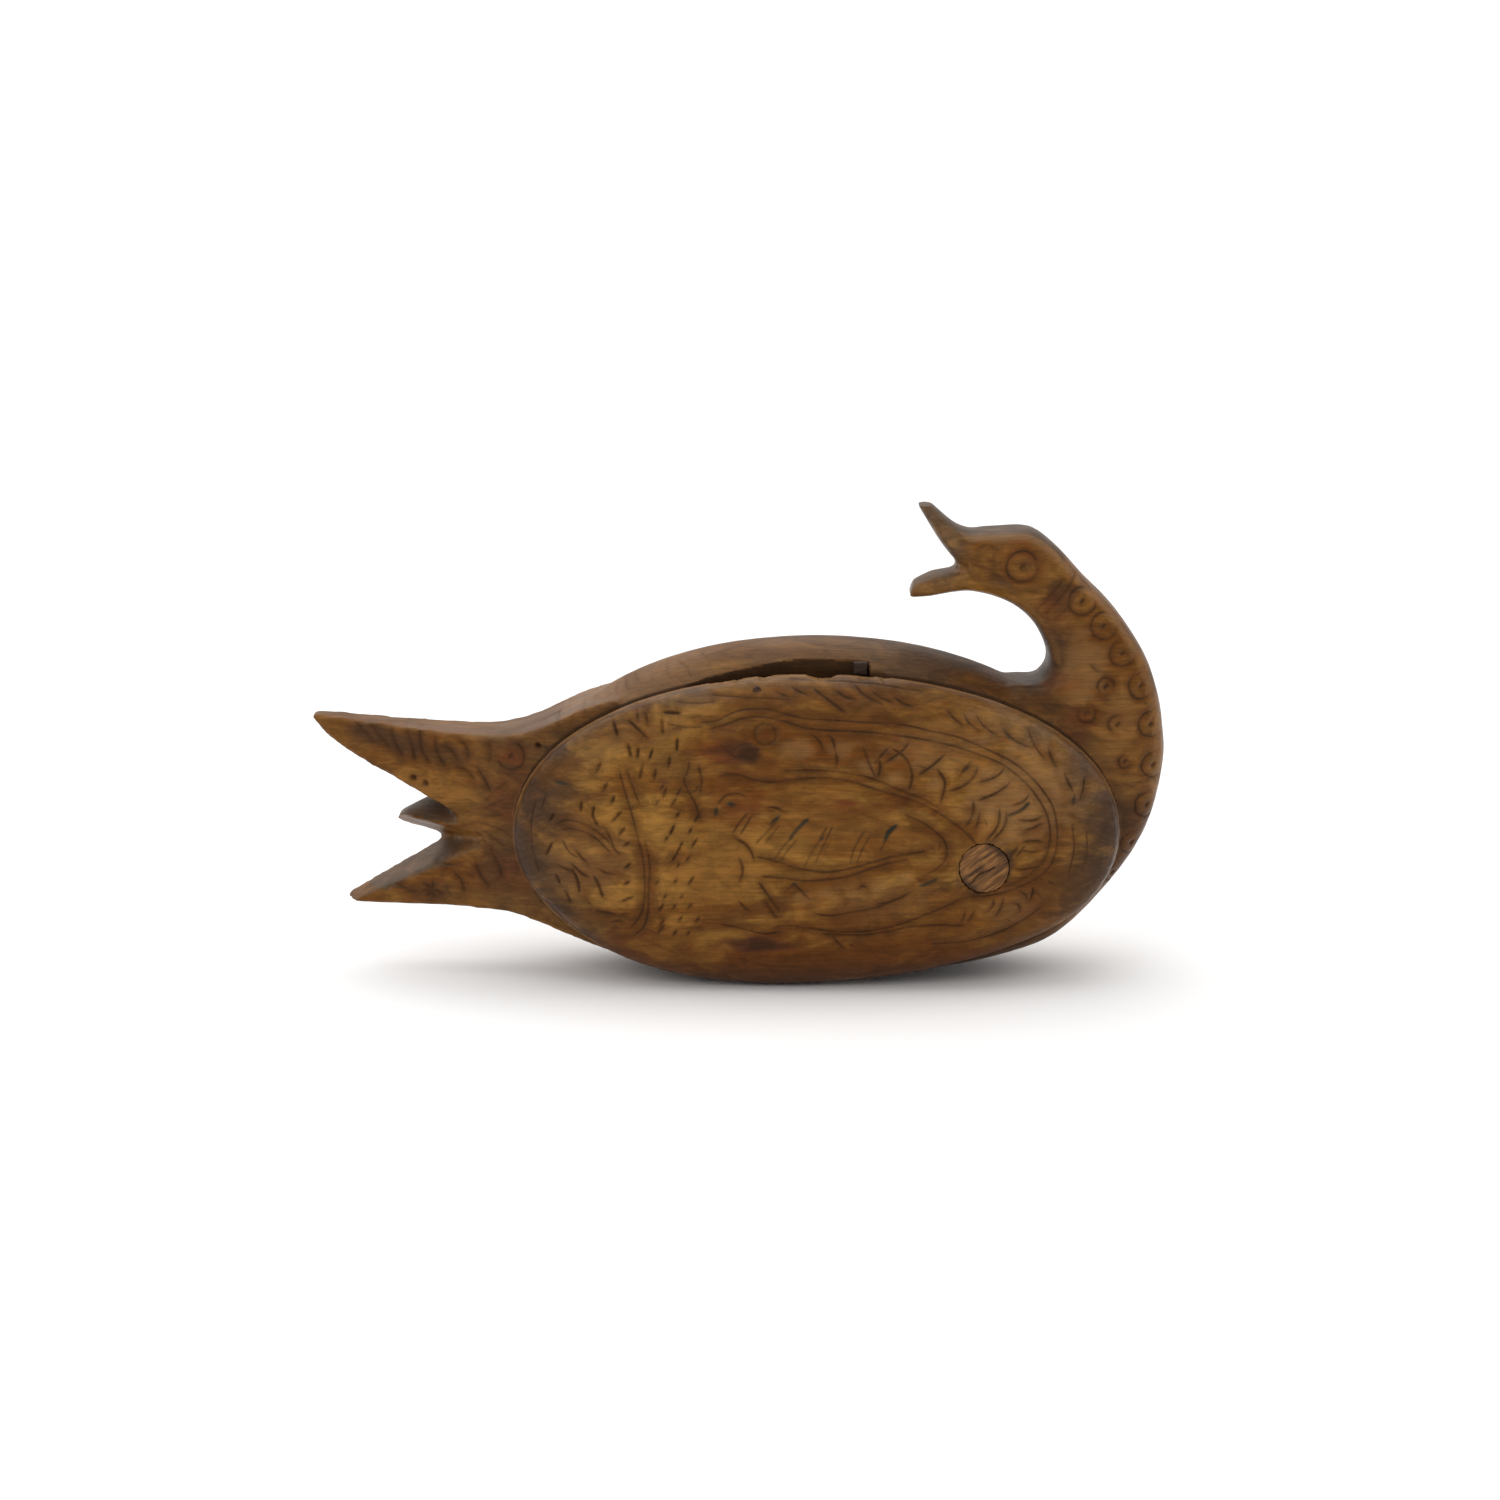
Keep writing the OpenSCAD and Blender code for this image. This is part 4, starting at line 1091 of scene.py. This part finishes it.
def buildPin():
    low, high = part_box("rim_pin")
    x, z = (low.x + high.x) / 2, (low.z + high.z) / 2
    bpy.ops.object.select_all(action="DESELECT")
    bpy.ops.mesh.primitive_cylinder_add(
        vertices=28, radius=smallShape["pinRadius"], depth=high.y - low.y,
        location=(x, (low.y + high.y) / 2, z), rotation=(math.pi / 2, 0, 0),
    )
    pin = bpy.context.object
    pin.name = "rim_pin_wood"
    bpy.ops.object.transform_apply(location=True, rotation=True, scale=True)
    selectFaces(pin, [face.normal.y < -0.9 for face in pin.data.polygons])
    for thickness, lift in ((0.2, 0.0), (0.2, -0.06), (0.2, -0.05), (0.15, 0.12)):
        bpy.ops.mesh.inset(thickness=thickness * mm)
        bpy.ops.transform.translate(value=(0, lift * mm, 0))
    bpy.ops.object.mode_set(mode="OBJECT")
    applyModifier(
        pin, "BEVEL",
        width=0.16 * mm, segments=3, limit_method="ANGLE", angle_limit=math.radians(50),
    )
    at = coords(pin)
    at[:, 1] = np.maximum(at[:, 1], low.y)
    setCoords(pin, at)
    paint(pin, "dirt", 0.4 + 0.5 * (np.hypot(at[:, 0] - x, at[:, 2] - z) > 0.8 * mm))
    pin.data.materials.clear()
    pin.data.materials.append(darkWood(
        "dark_pin_wood", srgb(84, 52, 30), srgb(46, 29, 20), (900, 300, 900), (0, 0.4, 0), 0.5))
    pickOnly(pin)
    bpy.ops.object.shade_smooth_by_angle(angle=math.radians(40))
    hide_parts("rim_pin")
    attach(pin, "side_lid")


def buildSlotBlock():
    low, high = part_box("slot_block")
    bpy.ops.object.select_all(action="DESELECT")
    bpy.ops.mesh.primitive_cube_add(size=1, location=(low + high) / 2)
    block = bpy.context.object
    block.name = "slot_block_wood"
    block.scale = high - low
    bpy.ops.object.transform_apply(location=True, rotation=True, scale=True)
    applyModifier(block, "BEVEL", width=smallShape["blockBevel"], segments=3)
    bpy.ops.object.mode_set(mode="EDIT")
    bpy.ops.mesh.select_all(action="SELECT")
    bpy.ops.mesh.subdivide(number_cuts=5)
    bpy.ops.object.mode_set(mode="OBJECT")
    unevenly(block, 0.9, 0.28, 1.3)
    paint(block, "dirt", np.full(len(block.data.vertices), 0.35))
    block.data.materials.clear()
    block.data.materials.append(darkWood(
        "dark_block_wood", srgb(62, 43, 33), srgb(36, 26, 21), (300, 900, 900), (0, 0.2, 0), 0.6))
    pickOnly(block)
    bpy.ops.object.shade_smooth_by_angle(angle=math.radians(50))
    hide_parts("slot_block")
    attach(block, "bird_body")


buildLid()
buildBody()
buildPeg()
buildPin()
buildSlotBlock()


# floor, light and camera

studio = {
    "floorSize": 60.0,
    "worldStrength": 0.62,
    "sunStrength": 1.7,
    "aim": (0.0027, 0.0, 0.0523),
    "distance": 0.8,
    "elevation": math.radians(12),
    "lens": 82.3,
}


def buildFloor():
    bpy.ops.object.select_all(action="DESELECT")
    bpy.ops.mesh.primitive_plane_add(size=studio["floorSize"], location=(0, 0, 0))
    floor = bpy.context.object
    floor.name = "pale_floor"
    material, tree, surface = startMaterial("pale_paper")
    surface.inputs["Base Color"].default_value = srgb(250, 249, 248)
    surface.inputs["Roughness"].default_value = 0.9
    surface.inputs["Specular IOR Level"].default_value = 0.1
    floor.data.materials.append(material)


def addPanel(name, place, size, power):
    light = bpy.data.lights.new(name, "AREA")
    light.shape = "RECTANGLE"
    light.size, light.size_y = size
    light.energy = power
    lamp = bpy.data.objects.new(name, light)
    lamp.location = place
    lamp.rotation_euler = (Vector(studio["aim"]) - Vector(place)).to_track_quat("-Z", "Y").to_euler()
    bpy.context.scene.collection.objects.link(lamp)


def buildStudio():
    world = bpy.data.worlds.new("soft_room")
    world.use_nodes = True
    background = world.node_tree.nodes["Background"]
    background.inputs["Color"].default_value = (1, 1, 1, 1)
    background.inputs["Strength"].default_value = studio["worldStrength"]
    # the room behind is plain white, and only part of it falls on the object
    path = node(world.node_tree, "ShaderNodeLightPath", -600, 0)
    white = node(world.node_tree, "ShaderNodeBackground", -300, -200, Color=(1, 1, 1, 1), Strength=1.05)
    mix = node(world.node_tree, "ShaderNodeMixShader", 0, 0)
    links = world.node_tree.links
    links.new(path.outputs["Is Camera Ray"], mix.inputs[0])
    links.new(background.outputs["Background"], mix.inputs[1])
    links.new(white.outputs["Background"], mix.inputs[2])
    links.new(mix.outputs["Shader"], world.node_tree.nodes["World Output"].inputs["Surface"])
    bpy.context.scene.world = world
    sun = bpy.data.lights.new("high_window", "SUN")
    sun.energy = studio["sunStrength"]
    sun.angle = math.radians(85)
    holder = bpy.data.objects.new("high_window", sun)
    holder.rotation_euler = Vector((-0.32, 0.3, 1)).to_track_quat("Z", "Y").to_euler()
    bpy.context.scene.collection.objects.link(holder)
    addPanel("front_panel", (-0.7, -1.2, 0.9), (0.8, 0.8), 5)
    addPanel("right_panel", (1.0, 0.2, 0.9), (0.6, 0.8), 2.5)
    bpy.context.scene.view_settings.view_transform = "Standard"
    bpy.context.scene.view_settings.look = "None"


def buildCamera():
    camera = bpy.data.cameras.new("front_camera")
    camera.sensor_width = 36
    camera.lens = studio["lens"]
    camera.clip_start = 0.01
    holder = bpy.data.objects.new("front_camera", camera)
    back = Vector((0, -math.cos(studio["elevation"]), math.sin(studio["elevation"])))
    holder.location = Vector(studio["aim"]) + back * studio["distance"]
    holder.rotation_euler = (-back).to_track_quat("-Z", "Y").to_euler()
    bpy.context.scene.collection.objects.link(holder)
    bpy.context.scene.camera = holder


buildFloor()
buildStudio()
buildCamera()
